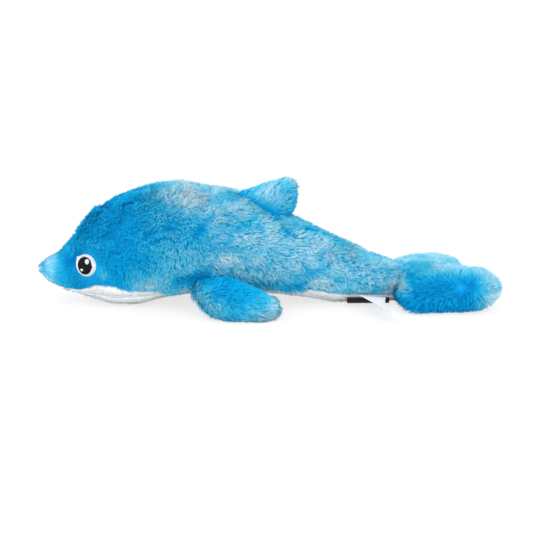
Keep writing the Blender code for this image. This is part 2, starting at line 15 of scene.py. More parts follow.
import bpy
import numpy as np
from mathutils import Matrix, Vector


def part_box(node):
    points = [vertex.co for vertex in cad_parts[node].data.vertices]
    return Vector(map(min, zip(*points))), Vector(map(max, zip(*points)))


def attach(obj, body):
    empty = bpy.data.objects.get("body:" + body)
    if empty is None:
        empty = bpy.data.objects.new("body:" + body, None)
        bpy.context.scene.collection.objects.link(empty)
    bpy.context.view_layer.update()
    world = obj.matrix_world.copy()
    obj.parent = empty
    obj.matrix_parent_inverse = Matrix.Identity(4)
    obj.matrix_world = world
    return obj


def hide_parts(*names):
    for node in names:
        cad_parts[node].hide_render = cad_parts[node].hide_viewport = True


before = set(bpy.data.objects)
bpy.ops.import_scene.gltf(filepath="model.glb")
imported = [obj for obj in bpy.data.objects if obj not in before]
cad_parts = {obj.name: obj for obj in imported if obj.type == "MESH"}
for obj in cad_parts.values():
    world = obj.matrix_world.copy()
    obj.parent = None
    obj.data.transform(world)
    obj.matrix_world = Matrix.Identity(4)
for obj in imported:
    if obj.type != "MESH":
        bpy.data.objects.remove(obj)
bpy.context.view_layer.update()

bl_info = {
    "name": "Plush dolphin",
    "version": (1, 0, 0),
    "blender": (4, 5, 0),
    "location": "View3D > Sidebar > Plush",
    "description": "Sews the pile, belly, eyes and labels of a plush dolphin",
    "category": "Object",
}

MM = 0.001
NOSE_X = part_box("left_side_panel")[0].x  # where the tip of the nose is
PILE_MAP = "OFBake"  # across it runs the tone of the dye, and up it the place along a strand

# Body section
WIDEST_SHARE = 0.42
UPPER_FULLNESS = 2.1
LOWER_FULLNESS = 2.6
NOSE_ROUNDING = 6.5
SLOPE_STEP = 0.02
FIN_TIP_ROUNDING = 0.22


class BodyStation(NamedTuple):
    """One section of the body, in millimetres and degrees. Seams are measured round from the keel."""

    from_nose: float
    top: float
    bottom: float
    half_width: float
    side_seam: float
    gusset_seam: float


BODY = [
    BodyStation(0, 28.6, 17.2, 5.2, 0, 0),
    BodyStation(6, 31.0, 12.2, 9.0, 0, 0),
    BodyStation(12, 34.6, 9.2, 12.4, 4, 0),
    BodyStation(18, 40.0, 7.2, 15.6, 36, 4),
    BodyStation(24, 46.8, 5.6, 19.0, 47, 24),
    BodyStation(30, 54.0, 4.2, 22.2, 61, 36),
    BodyStation(37, 59.4, 2.4, 25.2, 71, 43),
    BodyStation(46, 64.0, 0.0, 28.4, 73, 48),
    BodyStation(56, 68.2, -0.6, 31.0, 66, 49),
    BodyStation(66, 71.8, 0.6, 33.0, 60, 45),
    BodyStation(78, 75.2, 3.8, 35.2, 50, 36),
    BodyStation(90, 75.4, 6.2, 36.8, 45, 32),
    BodyStation(104, 72.4, 7.4, 37.2, 43, 31),
    BodyStation(118, 70.4, 7.6, 37.0, 43, 31),
    BodyStation(132, 67.4, 7.2, 35.8, 47, 33),
    BodyStation(146, 60.6, 6.4, 33.8, 53, 37),
    BodyStation(160, 53.4, 5.0, 31.2, 59, 40),
    BodyStation(175, 47.0, 2.6, 28.2, 63, 43),
    BodyStation(190, 39.6, -0.2, 25.2, 65, 45),
    BodyStation(205, 32.8, -0.8, 22.0, 67, 46),
    BodyStation(220, 25.8, -0.8, 18.6, 69, 47),
    BodyStation(230, 22.8, -0.8, 16.0, 70, 47),
    BodyStation(237, 21.6, -0.8, 14.2, 70, 47),
]
TAIL_END = BODY[-1].from_nose
STRIP_START = 15.0
GUSSET_START = 21.0


class FinStation(NamedTuple):
    """One chord of a fin, in millimetres: its two edges from the fin's anchor, and half its thickness."""

    leading: tuple
    trailing: tuple
    half_thickness: float


DORSAL_FROM_NOSE = 127.0
DORSAL_FIN = [
    FinStation((-3.0, 0, -7.0), (33.0, 0, -23.0), 11.5),
    FinStation((0.0, 0, 0.2), (34.5, 0, -13.4), 10.5),
    FinStation((8.5, 0, 3.0), (36.5, 0, -7.0), 9.5),
    FinStation((17.0, 0, 5.6), (37.2, 0, -1.6), 8.6),
    FinStation((23.8, 0, 7.4), (37.2, 0, 2.6), 7.6),
    FinStation((28.3, 0, 8.6), (36.8, 0, 4.6), 6.6),
    FinStation((30.6, 0, 9.2), (37.2, 0, 5.4), 6.0),
]
FLIPPER_FROM_NOSE = 97.5
FLIPPER = [
    FinStation((0.0, -26.0, 15.0), (17.0, -26.0, 22.0), 6.0),
    FinStation((1.0, -37.0, 12.4), (22.0, -36.0, 23.0), 7.2),
    FinStation((6.5, -47.0, 6.4), (30.0, -42.0, 22.0), 8.2),
    FinStation((17.0, -54.0, 3.0), (37.0, -46.0, 19.5), 8.8),
    FinStation((30.5, -57.5, 1.8), (44.5, -48.0, 16.5), 8.4),
    FinStation((43.0, -57.5, 1.8), (51.5, -50.0, 12.5), 7.6),
    FinStation((50.0, -56.5, 2.6), (55.0, -52.0, 10.0), 6.6),
]
FLUKE_LEFT_TIP_TO_MIDDLE = [
    FinStation((17.0, -48.5, 13.0), (41.5, -48.5, 13.0), 9.4),
    FinStation((2.0, -42.0, 13.0), (48.5, -42.0, 13.0), 12.0),
    FinStation((-11.0, -35.0, 13.0), (49.0, -35.0, 13.0), 12.9),
    FinStation((-12.0, -26.0, 13.0), (45.0, -26.0, 13.0), 12.9),
    FinStation((-8.0, -14.0, 12.8), (36.0, -14.0, 12.8), 12.0),
]
FLUKE_MIDDLE = FinStation((-4.5, 0.0, 12.2), (26.0, 0.0, 12.2), 10.4)
FLUKE_MIDDLE_TO_RIGHT_TIP = [
    FinStation((-6.0, 14.0, 11.0), (36.0, 14.0, 11.0), 9.8),
    FinStation((-5.0, 26.0, 9.8), (45.0, 26.0, 9.8), 9.2),
    FinStation((-0.5, 35.0, 9.2), (49.0, 35.0, 9.2), 8.8),
    FinStation((8.0, 42.0, 8.6), (48.5, 42.0, 8.6), 8.2),
    FinStation((19.0, 48.5, 8.0), (41.5, 48.5, 8.0), 7.2),
]
FLUKE_TURN = 12.5
FLUKE_SHIFT = 4.0

NOSE_POINT = np.array((-5.6, 0.0, 21.8))  # where the snout's pile comes together
NOSE_GATHER = 13.0

# Embroidered eyes, in millimetres
EYE_FROM_NOSE = 31.3
EYE_TURN = 84.0
EYE_STAND = 2.0
EYE_CLEARING = 0.5  # bare cloth round the white

GUSSET_SHARE = 0.55  # how dense the pile is under the belly, where it is pressed flat

# Labels, in millimetres
BLACK_LABEL_FROM_NOSE = 210.5
WHITE_LABEL_FROM_NOSE = 214.5

# Stage
FLOOR_SIZE = 8.0
FLOOR_WHITE = 0.74  # its share of plain white under the toy
FLOOR_WHITE_FROM = 0.5  # how far from the toy it is all white, in metres
WORLD_LIGHT = 1.14
LAMPS = (  # name, place and size in metres, watts
    ("key", (-0.45, -0.9, 1.15), 1.6, 8.8),
    ("fill", (0.3, -1.35, 0.45), 1.8, 13.0),
    ("back", (0.3, 1.1, 0.9), 1.2, 4.0),
)
CAMERA_TURN, CAMERA_UP = math.radians(-2.0), math.radians(13.0)
CAMERA_AIM = 0.035  # how high it looks, in metres
PHOTO_WIDTH = 0.3454  # what the photo's width shows at one metre, in metres


class DyeAndShadePatch(NamedTuple):
    """A soft patch of one tone on the back or side: its middle, its reach each way, and how strong it is.
    Most patches are the dye's own; two are painted shade.
    """

    from_nose: float
    turn: float
    length: float
    width: float
    tone: float
    strength: float


# The pile along the body, from the nose: its length as a share of the full length, and how steeply it stands
PILE_PLACES = (0, 8, 18, 36, 62, 84, 150, 175, 237)
PILE_SHARES = (0.3, 0.38, 0.5, 0.66, 0.66, 0.86, 0.88, 0.76, 0.74)
RISE_PLACES = (0, 10, 22, 36, 62, 84, 237)
RISES = (0.1, 0.24, 0.5, 0.62, 0.68, 1.0, 0.95)
HANGING_FRONT, HANGING_REAR = 86.0, 159.0  # where the pile hangs down over the side seam
FOREHEAD, FOREHEAD_REACH, FOREHEAD_LIFT = 47.0, 21.0, 1.7  # where the cloth stands further out
LABELS_REACH = 15.0  # how far from the labels the pile is cut short

# A strand of pile
KNEE_SHARE, TIP_SHARE = 0.68, 0.32  # the part of its length up to where it bends, and the part above
KNEE_LIFT, TIP_LIFT = 1.2, 0.8  # how steeply each part stands, as a share of the strand's rise
LEAST_LIFT, MOST_LIFT, MOST_KNEE = 0.06, 1.45, 1.5
LOWEST_TIP, LOWEST_POINT = 0.12, 0.05
ROOT_DEPTH = 0.2  # how deep in the cloth it starts
STRAND_SHAPE = np.array([(0, 2, 1), (0, 3, 2), (0, 1, 3), (1, 2, 4), (2, 3, 4), (3, 1, 4)])
FOLD_COMB = 1.6  # how strongly a fold combs its pile away

# Cloths
ROW_SPACING = 2.5
SIDE_COLUMNS, STRIP_COLUMNS, GUSSET_COLUMNS = 34, 10, 20
WHITE_INSET, FIN_INSET = 1.4, 1.6
FIN_HIDDEN = 2.6  # a fin's cloth that is deeper than this in the body is left out
FIN_LOWEST = 0.9

# Fins
PALE_BY_FLIPPER_ROOT = np.array((110.0, 40.0, 11.0))  # a paler place by the flipper's root
RIM_SALT = 77
PARTING_START = np.array((266.5, -47.0, 19.0))  # the line along which the near lobe's pile parts
PARTING_END = np.array((273.5, -49.0, 19.0))
DARK_SPOT = np.array((288.0, -48.0, 17.0))  # a small deep blue spot in the near lobe's pale end
NEAR_TONE, FAR_TONE, BY_TAIL_TONE = 0.17, 0.7, 0.8  # of the fluke's lobes, and where they meet the body

# Embroidery: rings and sides of a stitch, and a highlight's distance between stitches
STITCH_RINGS, STITCH_SIDES = 13, 6
HIGHLIGHT_PITCH = 0.36

LABEL_THICKNESS = 0.22
BLACK_ROWS, WHITE_ROWS = 25, 31
WHITE_TWIST = math.radians(42.0)


class Fold(NamedTuple):
    """A line along which a side's pile parts. An end is a distance from the nose and a turn in degrees."""

    start: tuple[float, float]
    end: tuple[float, float]
    width: float
    depth: float


# A fold's depth also darkens the pile's tone along it, as painted shade in the crease.
FOLDS = (
    Fold((90, 112), (107, 102), 3.2, 1.5),
    Fold((99, 66), (110, 46), 2.1, 1.4),
    Fold((111, 59), (125, 56), 1.7, 1.1),
    Fold((106, 79), (128, 76), 1.7, 1.1),
    Fold((128, 94), (137, 91), 1.7, 1.2),
    Fold((183, 85), (200, 80), 1.7, 1.3),
    Fold((168, 74), (176, 92), 1.7, 1.1),
    Fold((126, 3), (151, 20), 3.0, 1.3),
    Fold((13, 22), (19, 60), 3.2, 0.6),
    Fold((41, 2), (47, 30), 2.0, 0.5),
    Fold((47, 42), (52, 64), 2.0, 0.4),
)

# Tones run from 0, deep blue, to 1, frosted white
TONE_PLACES = (0, 9, 14, 22, 60, 78, 95, 130, 237)
TONES_ALONG = (0.72, 0.66, 0.46, 0.25, 0.25, 0.44, 0.62, 0.63, 0.63)
DYE_AND_SHADE_PATCHES = (
    DyeAndShadePatch(92, 18, 17, 24, 0.88, 1.0),
    DyeAndShadePatch(69, 108, 12, 11, 0.92, 0.85),
    DyeAndShadePatch(41.5, 92, 2.6, 4, 0.8, 0.8),
    # painted shadow at the eye's upper left
    DyeAndShadePatch(21.5, 66, 4, 12, 0.0, 0.9),
    # painted contact shadow on the body round the flipper's root
    DyeAndShadePatch(103, 118, 5, 7, 0.05, 0.8),
    DyeAndShadePatch(5, 96, 6, 7, 0.45, 0.7),
    DyeAndShadePatch(96, 64, 12, 14, 0.4, 0.9),
    DyeAndShadePatch(119, 50, 9, 15, 0.86, 0.9),
    DyeAndShadePatch(122, 88, 10, 11, 0.8, 0.9),
    DyeAndShadePatch(150, 112, 24, 14, 0.34, 0.9),
    DyeAndShadePatch(178, 45, 12, 20, 0.8, 0.8),
    DyeAndShadePatch(178, 96, 8, 13, 0.88, 0.9),
    DyeAndShadePatch(170, 8, 10, 14, 0.45, 0.8),
    DyeAndShadePatch(205, 28, 14, 18, 0.72, 0.6),
    DyeAndShadePatch(229, 85, 9, 50, 0.9, 0.9),
)


def dye(red, green, blue):
    """A colour that shows as these values out of 255, as linear light."""
    shares = [value / 255 for value in (red, green, blue)]
    return tuple(s / 12.92 if s <= 0.04045 else ((s + 0.055) / 1.055) ** 2.4 for s in shares)


def colour_property(name, description, default):
    """A colour of the panel."""
    return bpy.props.FloatVectorProperty(
        name=name, description=description, default=default, size=3, subtype="COLOR", min=0.0, max=1.0
    )


def length_property(name, description, default):
    """A length of the panel, in metres."""
    return bpy.props.FloatProperty(
        name=name, description=description, default=default, min=0.0, unit="LENGTH", precision=5
    )


class PlushDyes(bpy.types.PropertyGroup):
    """The colours of the pile, the cloths and the threads."""

    tip_deep: colour_property("Deep tips", "Tips of the darkest pile", dye(0, 138, 204))
    tip_strong: colour_property("Strong tips", "Tips of the strong blue pile", dye(0, 168, 226))
    tip_mid: colour_property("Middle tips", "Tips of the middle blue pile", dye(70, 192, 227))
    tip_light: colour_property("Light tips", "Tips of the light blue pile", dye(146, 208, 228))
    tip_frost: colour_property("Frosted tips", "Tips of the frosted pile", dye(208, 225, 234))
    root_deep: colour_property("Deep roots", "Roots of the darkest pile", dye(0, 130, 200))
    root_mid: colour_property("Middle roots", "Roots of the middle blue pile", dye(24, 166, 216))
    root_light: colour_property("Light roots", "Roots of the frosted pile", dye(150, 205, 226))
    white_tip: colour_property("White pile", "Tips of the belly's short pile", dye(243, 245, 246))
    # Its grey is laid along the belly's seams as painted shade in the seam grooves.
    white_seam_shade: colour_property("White backing", "Cloth under the belly's pile", dye(206, 216, 222))
    white_thread: colour_property("White thread", "Embroidery of the eye's white", dye(212, 221, 228))
    black_thread: colour_property("Black thread", "Embroidery of the pupil", dye(24, 22, 25))
    white_satin: colour_property("White satin", "The long label", dye(226, 231, 235))
    black_satin: colour_property("Black satin", "The short label", dye(20, 20, 23))
    filling: colour_property("Filling", "Polyester fibre inside", dye(240, 240, 238))


class PlushSizes(bpy.types.PropertyGroup):
    """The sizes of the pile, the eyes and the labels."""

    pile_length: length_property("Blue pile length", "From root to tip, on the back", 7.4 * MM)
    pile_width: length_property("Blue strand width", "Where it is widest", 0.44 * MM)
    pile_count: bpy.props.FloatProperty(
        name="Blue pile count", description="Strands in a square millimetre", default=2.4, min=0.0
    )
    cloth_inset: length_property("Blue cloth inset", "From the outside of the pile to its backing", 2.2 * MM)
    backing: length_property("Backing", "Thickness of the cloth that the pile is rooted in", 0.8 * MM)
    white_length: length_property("White pile length", "From root to tip, on the belly", 2.2 * MM)
    white_width: length_property("White strand width", "Where it is widest", 0.36 * MM)
    white_count: bpy.props.FloatProperty(
        name="White pile count", description="Strands in a square millimetre", default=2.6, min=0.0
    )
    eye_width: length_property("Eye width", "The white's width", 14.3 * MM)
    eye_height: length_property("Eye height", "The white's height", 14.5 * MM)
    pupil_width: length_property("Pupil width", "The black's width", 10.4 * MM)
    pupil_height: length_property("Pupil height", "The black's height", 11.6 * MM)
    thread: length_property("Thread", "Distance between neighbouring stitches", 0.42 * MM)
    black_label_width: length_property("Black label width", "Along the seam", 28.0 * MM)
    black_label_reach: length_property("Black label reach", "From the seam to its fold", 6.0 * MM)
    white_label_width: length_property("White label width", "Along the seam", 17.0 * MM)
    white_label_length: length_property("White label length", "From the seam to its end", 46.0 * MM)


# Surfaces


def smooth_through(places, values, at):
    """A smooth curve through the values that never swings past them, read at one or more places."""
    places = np.asarray(places, float)
    values = np.asarray(values, float)
    widths = np.diff(places)
    slopes = np.diff(values) / widths
    tangents = np.zeros(len(places))
    tangents[0], tangents[-1] = slopes[0], slopes[-1]
    for i in range(1, len(places) - 1):
        before, after = slopes[i - 1], slopes[i]
        if before * after > 0:
            first = 2 * widths[i] + widths[i - 1]
            second = widths[i] + 2 * widths[i - 1]
            tangents[i] = (first + second) / (first / before + second / after)
    at = np.clip(at, places[0], places[-1])
    i = np.clip(np.searchsorted(places, at, side="right") - 1, 0, len(widths) - 1)
    t = (at - places[i]) / widths[i]
    start = values[i] * (1 + 2 * t) * (1 - t) ** 2 + tangents[i] * widths[i] * t * (1 - t) ** 2
    end = values[i + 1] * t * t * (3 - 2 * t) - tangents[i + 1] * widths[i] * t * t * (1 - t)
    return start + end


def unit(vectors):
    """Vectors made one long."""
    return vectors / np.maximum(np.linalg.norm(vectors, axis=-1, keepdims=True), 1e-12)


def bell(value, width):
    """1 where the value is 0, and softly down to 0 past the width."""
    return np.exp(-((value / width) ** 2))


def rising(value, start, length):
    """0 up to the start, 1 from that length past it, and a straight line between."""
    return np.clip((value - start) / length, 0, 1)


def body_value(field, from_nose):
    """A measure of the body at a distance from the nose."""
    return smooth_through([s.from_nose for s in BODY], [getattr(s, field) for s in BODY], from_nose)


def round_power(value, fullness):
    """A signed power of a sine or cosine, which turns a circle into a fuller section."""
    return np.sign(value) * np.abs(value) ** (2 / fullness)


def body_outside(from_nose, turn):
    """Points on the body's surface, in millimetres. turn is 0 on the ridge and a quarter turn on the left."""
    from_nose, turn = np.broadcast_arrays(np.asarray(from_nose, float), np.asarray(turn, float))
    top = body_value("top", from_nose)
    bottom = body_value("bottom", from_nose)
    widest = bottom + WIDEST_SHARE * (top - bottom)
    closing = np.sqrt(1 - (1 - np.clip(from_nose / NOSE_ROUNDING, 0, 1)) ** 2)
    upper = np.cos(turn) > 0
    fullness = np.where(upper, UPPER_FULLNESS, LOWER_FULLNESS)
    reach = np.where(upper, top - widest, widest - bottom)
    across = -body_value("half_width", from_nose) * closing * round_power(np.sin(turn), fullness)
    height = widest + reach * closing * round_power(np.cos(turn), fullness)
    return np.stack([from_nose, across, np.maximum(height, 0.0)], -1)


def body_normal(from_nose, turn):
    """The directions that point out of the body's surface."""
    step = SLOPE_STEP * np.clip(from_nose, SLOPE_STEP, 1.0)
    lengthways = body_outside(from_nose + step, turn) - body_outside(from_nose - step, turn)
    around = body_outside(from_nose, turn + SLOPE_STEP) - body_outside(from_nose, turn - SLOPE_STEP)
    normals = unit(np.cross(around, lengthways))
    normals[np.isclose(from_nose, 0.0)] = (-1.0, 0.0, 0.0)
    return normals


def seam_angle(field, from_nose):
    """The turn of a seam on the left side."""
    return math.pi - np.radians(body_value(field, from_nose))


def in_body(points, inset):
    """Which points, in millimetres, lie inside the body's surface drawn in by a distance."""
    from_nose = np.clip(points[..., 0], 0, TAIL_END)
    top = body_value("top", from_nose) - inset
    bottom = body_value("bottom", from_nose) + inset
    half_width = body_value("half_width", from_nose) - inset
    widest = bottom + WIDEST_SHARE * (top - bottom)
    above = points[..., 2] > widest
    fullness = np.where(above, UPPER_FULLNESS, LOWER_FULLNESS)
    reach = np.where(above, top - widest, widest - bottom)
    across = np.abs(points[..., 1]) / np.maximum(half_width, 0.1)
    height = np.abs(points[..., 2] - widest) / np.maximum(reach, 0.1)
    return (across**fullness + height**fullness < 1) & (points[..., 0] < TAIL_END)


class Fin:
    """The surface of a fin: a lens-shaped section swept along its stations, with one or two closed tips."""

    def __init__(self, stations, anchor, thickness_way, both_tips=False):
        self.stations = stations
        self.anchor = np.asarray(anchor, float)
        self.way = unit(np.asarray(thickness_way, float))
        self.both_tips = both_tips
        self.places = np.linspace(0, 1, len(stations))

    def through(self, values, along):
        """A measure of the stations, read along the span."""
        return smooth_through(self.places, values, along)

    def edge(self, which, along):
        """Points on the leading or trailing edge."""
        points = np.array([getattr(s, which) for s in self.stations], float)
        return np.stack([self.through(points[:, k], along) for k in range(3)], -1)

    def span(self):
        """The length of the fin, from its root to its tip or from tip to tip."""
        middles = [(np.asarray(s.leading, float) + s.trailing) / 2 for s in self.stations]
        return float(np.sum(np.linalg.norm(np.diff(middles, axis=0), axis=1)))

    def surface(self, along, turn, inset=0.0):
        """Points on the fin, or inset from it. turn is 0 on the leading edge."""
        along, turn = np.broadcast_arrays(np.asarray(along, float), np.asarray(turn, float))
        from_tip = np.minimum(along, 1 - along) if self.both_tips else 1 - along
        into_tip = np.clip(1 - from_tip / FIN_TIP_ROUNDING, 0, 1)
        along = along + np.where(along < 0.5, 1, -1) * into_tip * inset / self.span()
        leading, trailing = self.edge("leading", along), self.edge("trailing", along)
        half_chord = (leading - trailing) / 2
        half_chord -= inset * unit(half_chord)
        thick = self.through([s.half_thickness for s in self.stations], along)[..., None] - inset
        section = half_chord * np.cos(turn)[..., None] + self.way * thick * np.sin(turn)[..., None]
        closing = np.sqrt(1 - into_tip**2)[..., None]
        point = (leading + trailing) / 2 + section * closing + self.anchor
        point[..., 2] = np.maximum(point[..., 2], inset)
        return point

    def rows(self, count):
        """Places along the span, closer together at a closed tip."""
        bend = np.linspace(0, math.pi / 2, count // 2 + 1)
        tip = 1 - FIN_TIP_ROUNDING * (1 - np.sin(bend))
        if self.both_tips:
            half = np.concatenate([np.linspace(0.5, tip[0], count // 2 + 1)[:-1], tip])
            return np.concatenate([1 - half[:0:-1], half])
        return np.concatenate([np.linspace(0, tip[0], count // 2 + 1)[:-1], tip])


def mirrored(stations):
    """The same stations on the other side of the middle plane."""

    def across(point):
        return (point[0], -point[1], point[2])

    return [FinStation(across(s.leading), across(s.trailing), s.half_thickness) for s in stations]


def turned(stations, degrees):
    """The same stations, turned round the anchor so that the left side moves back."""
    turn = math.radians(degrees)

    def back(point):
        along = point[0] * math.cos(turn) - point[1] * math.sin(turn)
        across = point[1] * math.cos(turn) + point[0] * math.sin(turn)
        return (along, across, point[2])

    return [FinStation(back(s.leading), back(s.trailing), s.half_thickness) for s in stations]


def dorsal_fin():
    """The fin on the ridge of the back."""
    anchor = (DORSAL_FROM_NOSE, 0.0, float(body_value("top", DORSAL_FROM_NOSE)))
    return Fin(DORSAL_FIN, anchor, (0.0, -1.0, 0.0))


def flipper(side):
    """A flipper. side is 1 for the left one and -1 for the right one."""
    middle = FLIPPER[len(FLIPPER) // 2]
    chord = np.subtract(middle.trailing, middle.leading)
    span = np.subtract(FLIPPER[-1].leading, FLIPPER[0].leading)
    way = np.cross(chord, span)
    way *= np.sign(way[2])
    stations = FLIPPER if side > 0 else mirrored(FLIPPER)
    return Fin(stations, (FLIPPER_FROM_NOSE, 0.0, 0.0), way * (1, side, 1))


def fluke():
    """The tail fluke, in one piece from tip to tip."""
    straight = [*FLUKE_LEFT_TIP_TO_MIDDLE, FLUKE_MIDDLE, *FLUKE_MIDDLE_TO_RIGHT_TIP]
    stations = turned(straight, FLUKE_TURN)
    return Fin(stations, (TAIL_END, -FLUKE_SHIFT, 0.0), (0.0, 0.0, 1.0), both_tips=True)


def in_frame(points):
    """Points from millimetres behind the nose to the frame, in metres."""
    return points * MM + np.array((NOSE_X, 0.0, 0.0))


# Seeded patterns


def lattice_random(cells, salt):
    """A number from 0 to 1 for each whole-number cell, the same in every run."""
    mixed = cells[..., 0] * 73856093 ^ cells[..., 1] * 19349663 ^ cells[..., 2] * 83492791 ^ salt * 2654435
    mixed = (mixed ^ (mixed >> 13)) * 1274126177 & 0xFFFFFFFF
    mixed = (mixed ^ (mixed >> 15)) * 668265263 & 0xFFFFFFFF
    return ((mixed ^ (mixed >> 16)) & 0xFFFFFF) / 0x1000000


def soft_noise(points, size, salt):
    """Smooth noise from -1 to 1, whose features are about that size in millimetres."""
    scaled = points / size
    cell = np.floor(scaled).astype(np.int64)
    part = scaled - cell
    part = part * part * (3 - 2 * part)
    total = 0.0
    for corner in itertools.product((0, 1), repeat=3):
        weight = np.prod(np.where(corner, part, 1 - part), axis=-1)
        total = total + weight * lattice_random(cell + np.array(corner), salt)
    return total * 2 - 1


def tufts(points, size, salt):
    """The middle of the tuft that each point belongs to, and the tuft's own random numbers."""
    scaled = points / size
    cell = np.floor(scaled).astype(np.int64)
    nearest = np.full(len(points), np.inf)
    middle = np.zeros_like(points)
    owner = np.zeros_like(cell)
    for step in itertools.product((-1, 0, 1), repeat=3):
        here = cell + np.array(step)
        place = here + np.stack([lattice_random(here, salt + k) for k in range(3)], -1)
        apart = np.sum((place - scaled) ** 2, axis=-1)
        closer = apart < nearest
        nearest = np.where(closer, apart, nearest)
        middle[closer] = place[closer]
        owner[closer] = here[closer]
    numbers = [lattice_random(owner, salt + 10 + k) * 2 - 1 for k in range(4)]
    return middle * size, numbers


# Cloth and pile


def facing(points):
    """The cross product of two edges of each cell of a grid: the way it faces, as long as its area."""
    return np.cross(points[:-1, 1:] - points[:-1, :-1], points[1:, :-1] - points[:-1, :-1])


def within(vectors, normals):
    """The part of vectors that lies in the cloth."""
    return vectors - normals * np.sum(vectors * normals, axis=-1, keepdims=True)


def off_line(points, start, end):
    """The way to each point from the nearest place on the line between two others."""
    way = end - start
    share = np.clip(np.sum((points - start) * way, axis=-1, keepdims=True) / np.sum(way**2), 0, 1)
    return points - start - share * way


class Cloth(NamedTuple):
    """A cut panel as a grid of points, with what its pile does at each. All lengths are in millimetres."""

    points: np.ndarray
    normals: np.ndarray
    comb: np.ndarray
    tone: np.ndarray
    length: np.ndarray
    rise: np.ndarray
    shown: np.ndarray


class Pile(NamedTuple):
    """A kind of pile: its strands' count and width, the size of its tufts, and how far it varies.

    roundness is how much of its own form a strand shows in the light: at 0 it is lit as its cloth is.
    """

    count: float
    width: float
    tuft: float
    pull: float
    mottle: float
    skew: float
    cracks: float
    roundness: float


def mesh_piece(name, points, corners, sides, material, maps=None, shading=None):
    """An object from arrays: points in metres, corners of faces, how many sides a face has, and their map.

    shading gives each point the direction that it is lit from, where that isn't the one across its faces.
    """
    mesh = bpy.data.meshes.new(name)
    mesh.vertices.add(len(points))
    mesh.vertices.foreach_set("co", np.ascontiguousarray(points, np.float32).ravel())
    mesh.loops.add(len(corners))
    mesh.loops.foreach_set("vertex_index", np.ascontiguousarray(corners, np.int32))
    mesh.polygons.add(len(corners) // sides)
    mesh.polygons.foreach_set("loop_start", np.arange(0, len(corners), sides, dtype=np.int32))
    mesh.update(calc_edges=True)
    if maps is not None:
        layer = mesh.uv_layers.new(name=PILE_MAP)
        layer.data.foreach_set("uv", np.ascontiguousarray(maps, np.float32).ravel())
    mesh.validate()
    mesh.shade_smooth()
    if shading is not None:
        mesh.normals_split_custom_set_from_vertices(shading)
    mesh.materials.append(material)
    obj = bpy.data.objects.new(name, mesh)
    bpy.context.scene.collection.objects.link(obj)
    return obj


def select_only(obj):
    """Selects one object and makes it the active one."""
    bpy.ops.object.select_all(action="DESELECT")
    obj.select_set(True)
    bpy.context.view_layer.objects.active = obj


def modified(obj, kind, **settings):
    """Applies a modifier with these settings to the active object."""
    modifier = obj.modifiers.new(kind.lower(), kind)
    for name, value in settings.items():
        setattr(modifier, name, value)
    bpy.ops.object.modifier_apply(modifier=modifier.name)


def put_on(obj, node):
    """Puts a piece on the model in place of its node."""
    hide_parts(node)
    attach(obj, "root")


def cloth_piece(name, cloth, backing, material):
    """The backing of a panel: a closed sheet with the panel's outline."""
    points, shown = cloth.points, cloth.shown
    index = np.arange(shown.size).reshape(shown.shape)
    quads = np.stack([index[:-1, :-1], index[:-1, 1:], index[1:, 1:], index[1:, :-1]], -1)
    if np.sum(facing(points) * cloth.normals[:-1, :-1]) < 0:
        quads = quads[..., ::-1]
    kept = shown[:-1, :-1] | shown[1:, :-1] | shown[:-1, 1:] | shown[1:, 1:]
    corners = quads[kept].ravel()
    tone = np.clip(cloth.tone.ravel()[corners], 0.02, 0.98)
    maps = np.stack([tone, np.full(len(tone), 0.04)], -1)
    obj = mesh_piece(name, in_frame(points.reshape(-1, 3)), corners, 4, material, maps)
    select_only(obj)
    bpy.ops.object.mode_set(mode="EDIT")
    bpy.ops.mesh.select_all(action="SELECT")
    bpy.ops.mesh.remove_doubles(threshold=1e-5)
    bpy.ops.mesh.delete_loose()
    bpy.ops.object.mode_set(mode="OBJECT")
    modified(obj, "SOLIDIFY", thickness=backing, offset=-1.0)
    return obj


def turned_about(vectors, axes, angle):
    """Vectors turned round their axes, each by its own angle."""
    cosine, sine = np.cos(angle)[:, None], np.sin(angle)[:, None]
    along = np.sum(vectors * axes, axis=-1, keepdims=True)
    return vectors * cosine + np.cross(axes, vectors) * sine + axes * along * (1 - cosine)


def cracks(points, salt):
    """1 in the lines along which the pile parts, and 0 off them. They run mostly along the body."""
    line = soft_noise(points * (0.42, 1.0, 1.0), 8.5, salt) + 0.22 * soft_noise(points, 3.0, salt + 1)
    place = np.clip(2.2 * soft_noise(points * (0.7, 1.0, 1.0), 17.0, salt + 2), 0, 1)
    return bell(line, 0.09) * place


def folded(points):
    """How deep in a fold of the sides each point lies, and the way out of that fold."""
    points = points * np.array((1.0, 0.0, 1.0)) - np.abs(points[:, 1:2]) * np.array((0.0, 1.0, 0.0))
    depth, away = np.zeros(len(points)), np.zeros(points.shape)
    for fold in FOLDS:
        from_nose, degrees = np.array((fold.start, fold.end)).T
        start, end = body_outside(from_nose, np.radians(degrees))
        off = off_line(points, start, end)
        apart = np.linalg.norm(off, axis=-1)
        away += off / (apart[:, None] + 0.3) * (0.7 * fold.depth * bell(apart, 2.5 * fold.width))[:, None]
        depth = np.maximum(depth, fold.depth * bell(apart, fold.width))
    return depth, away


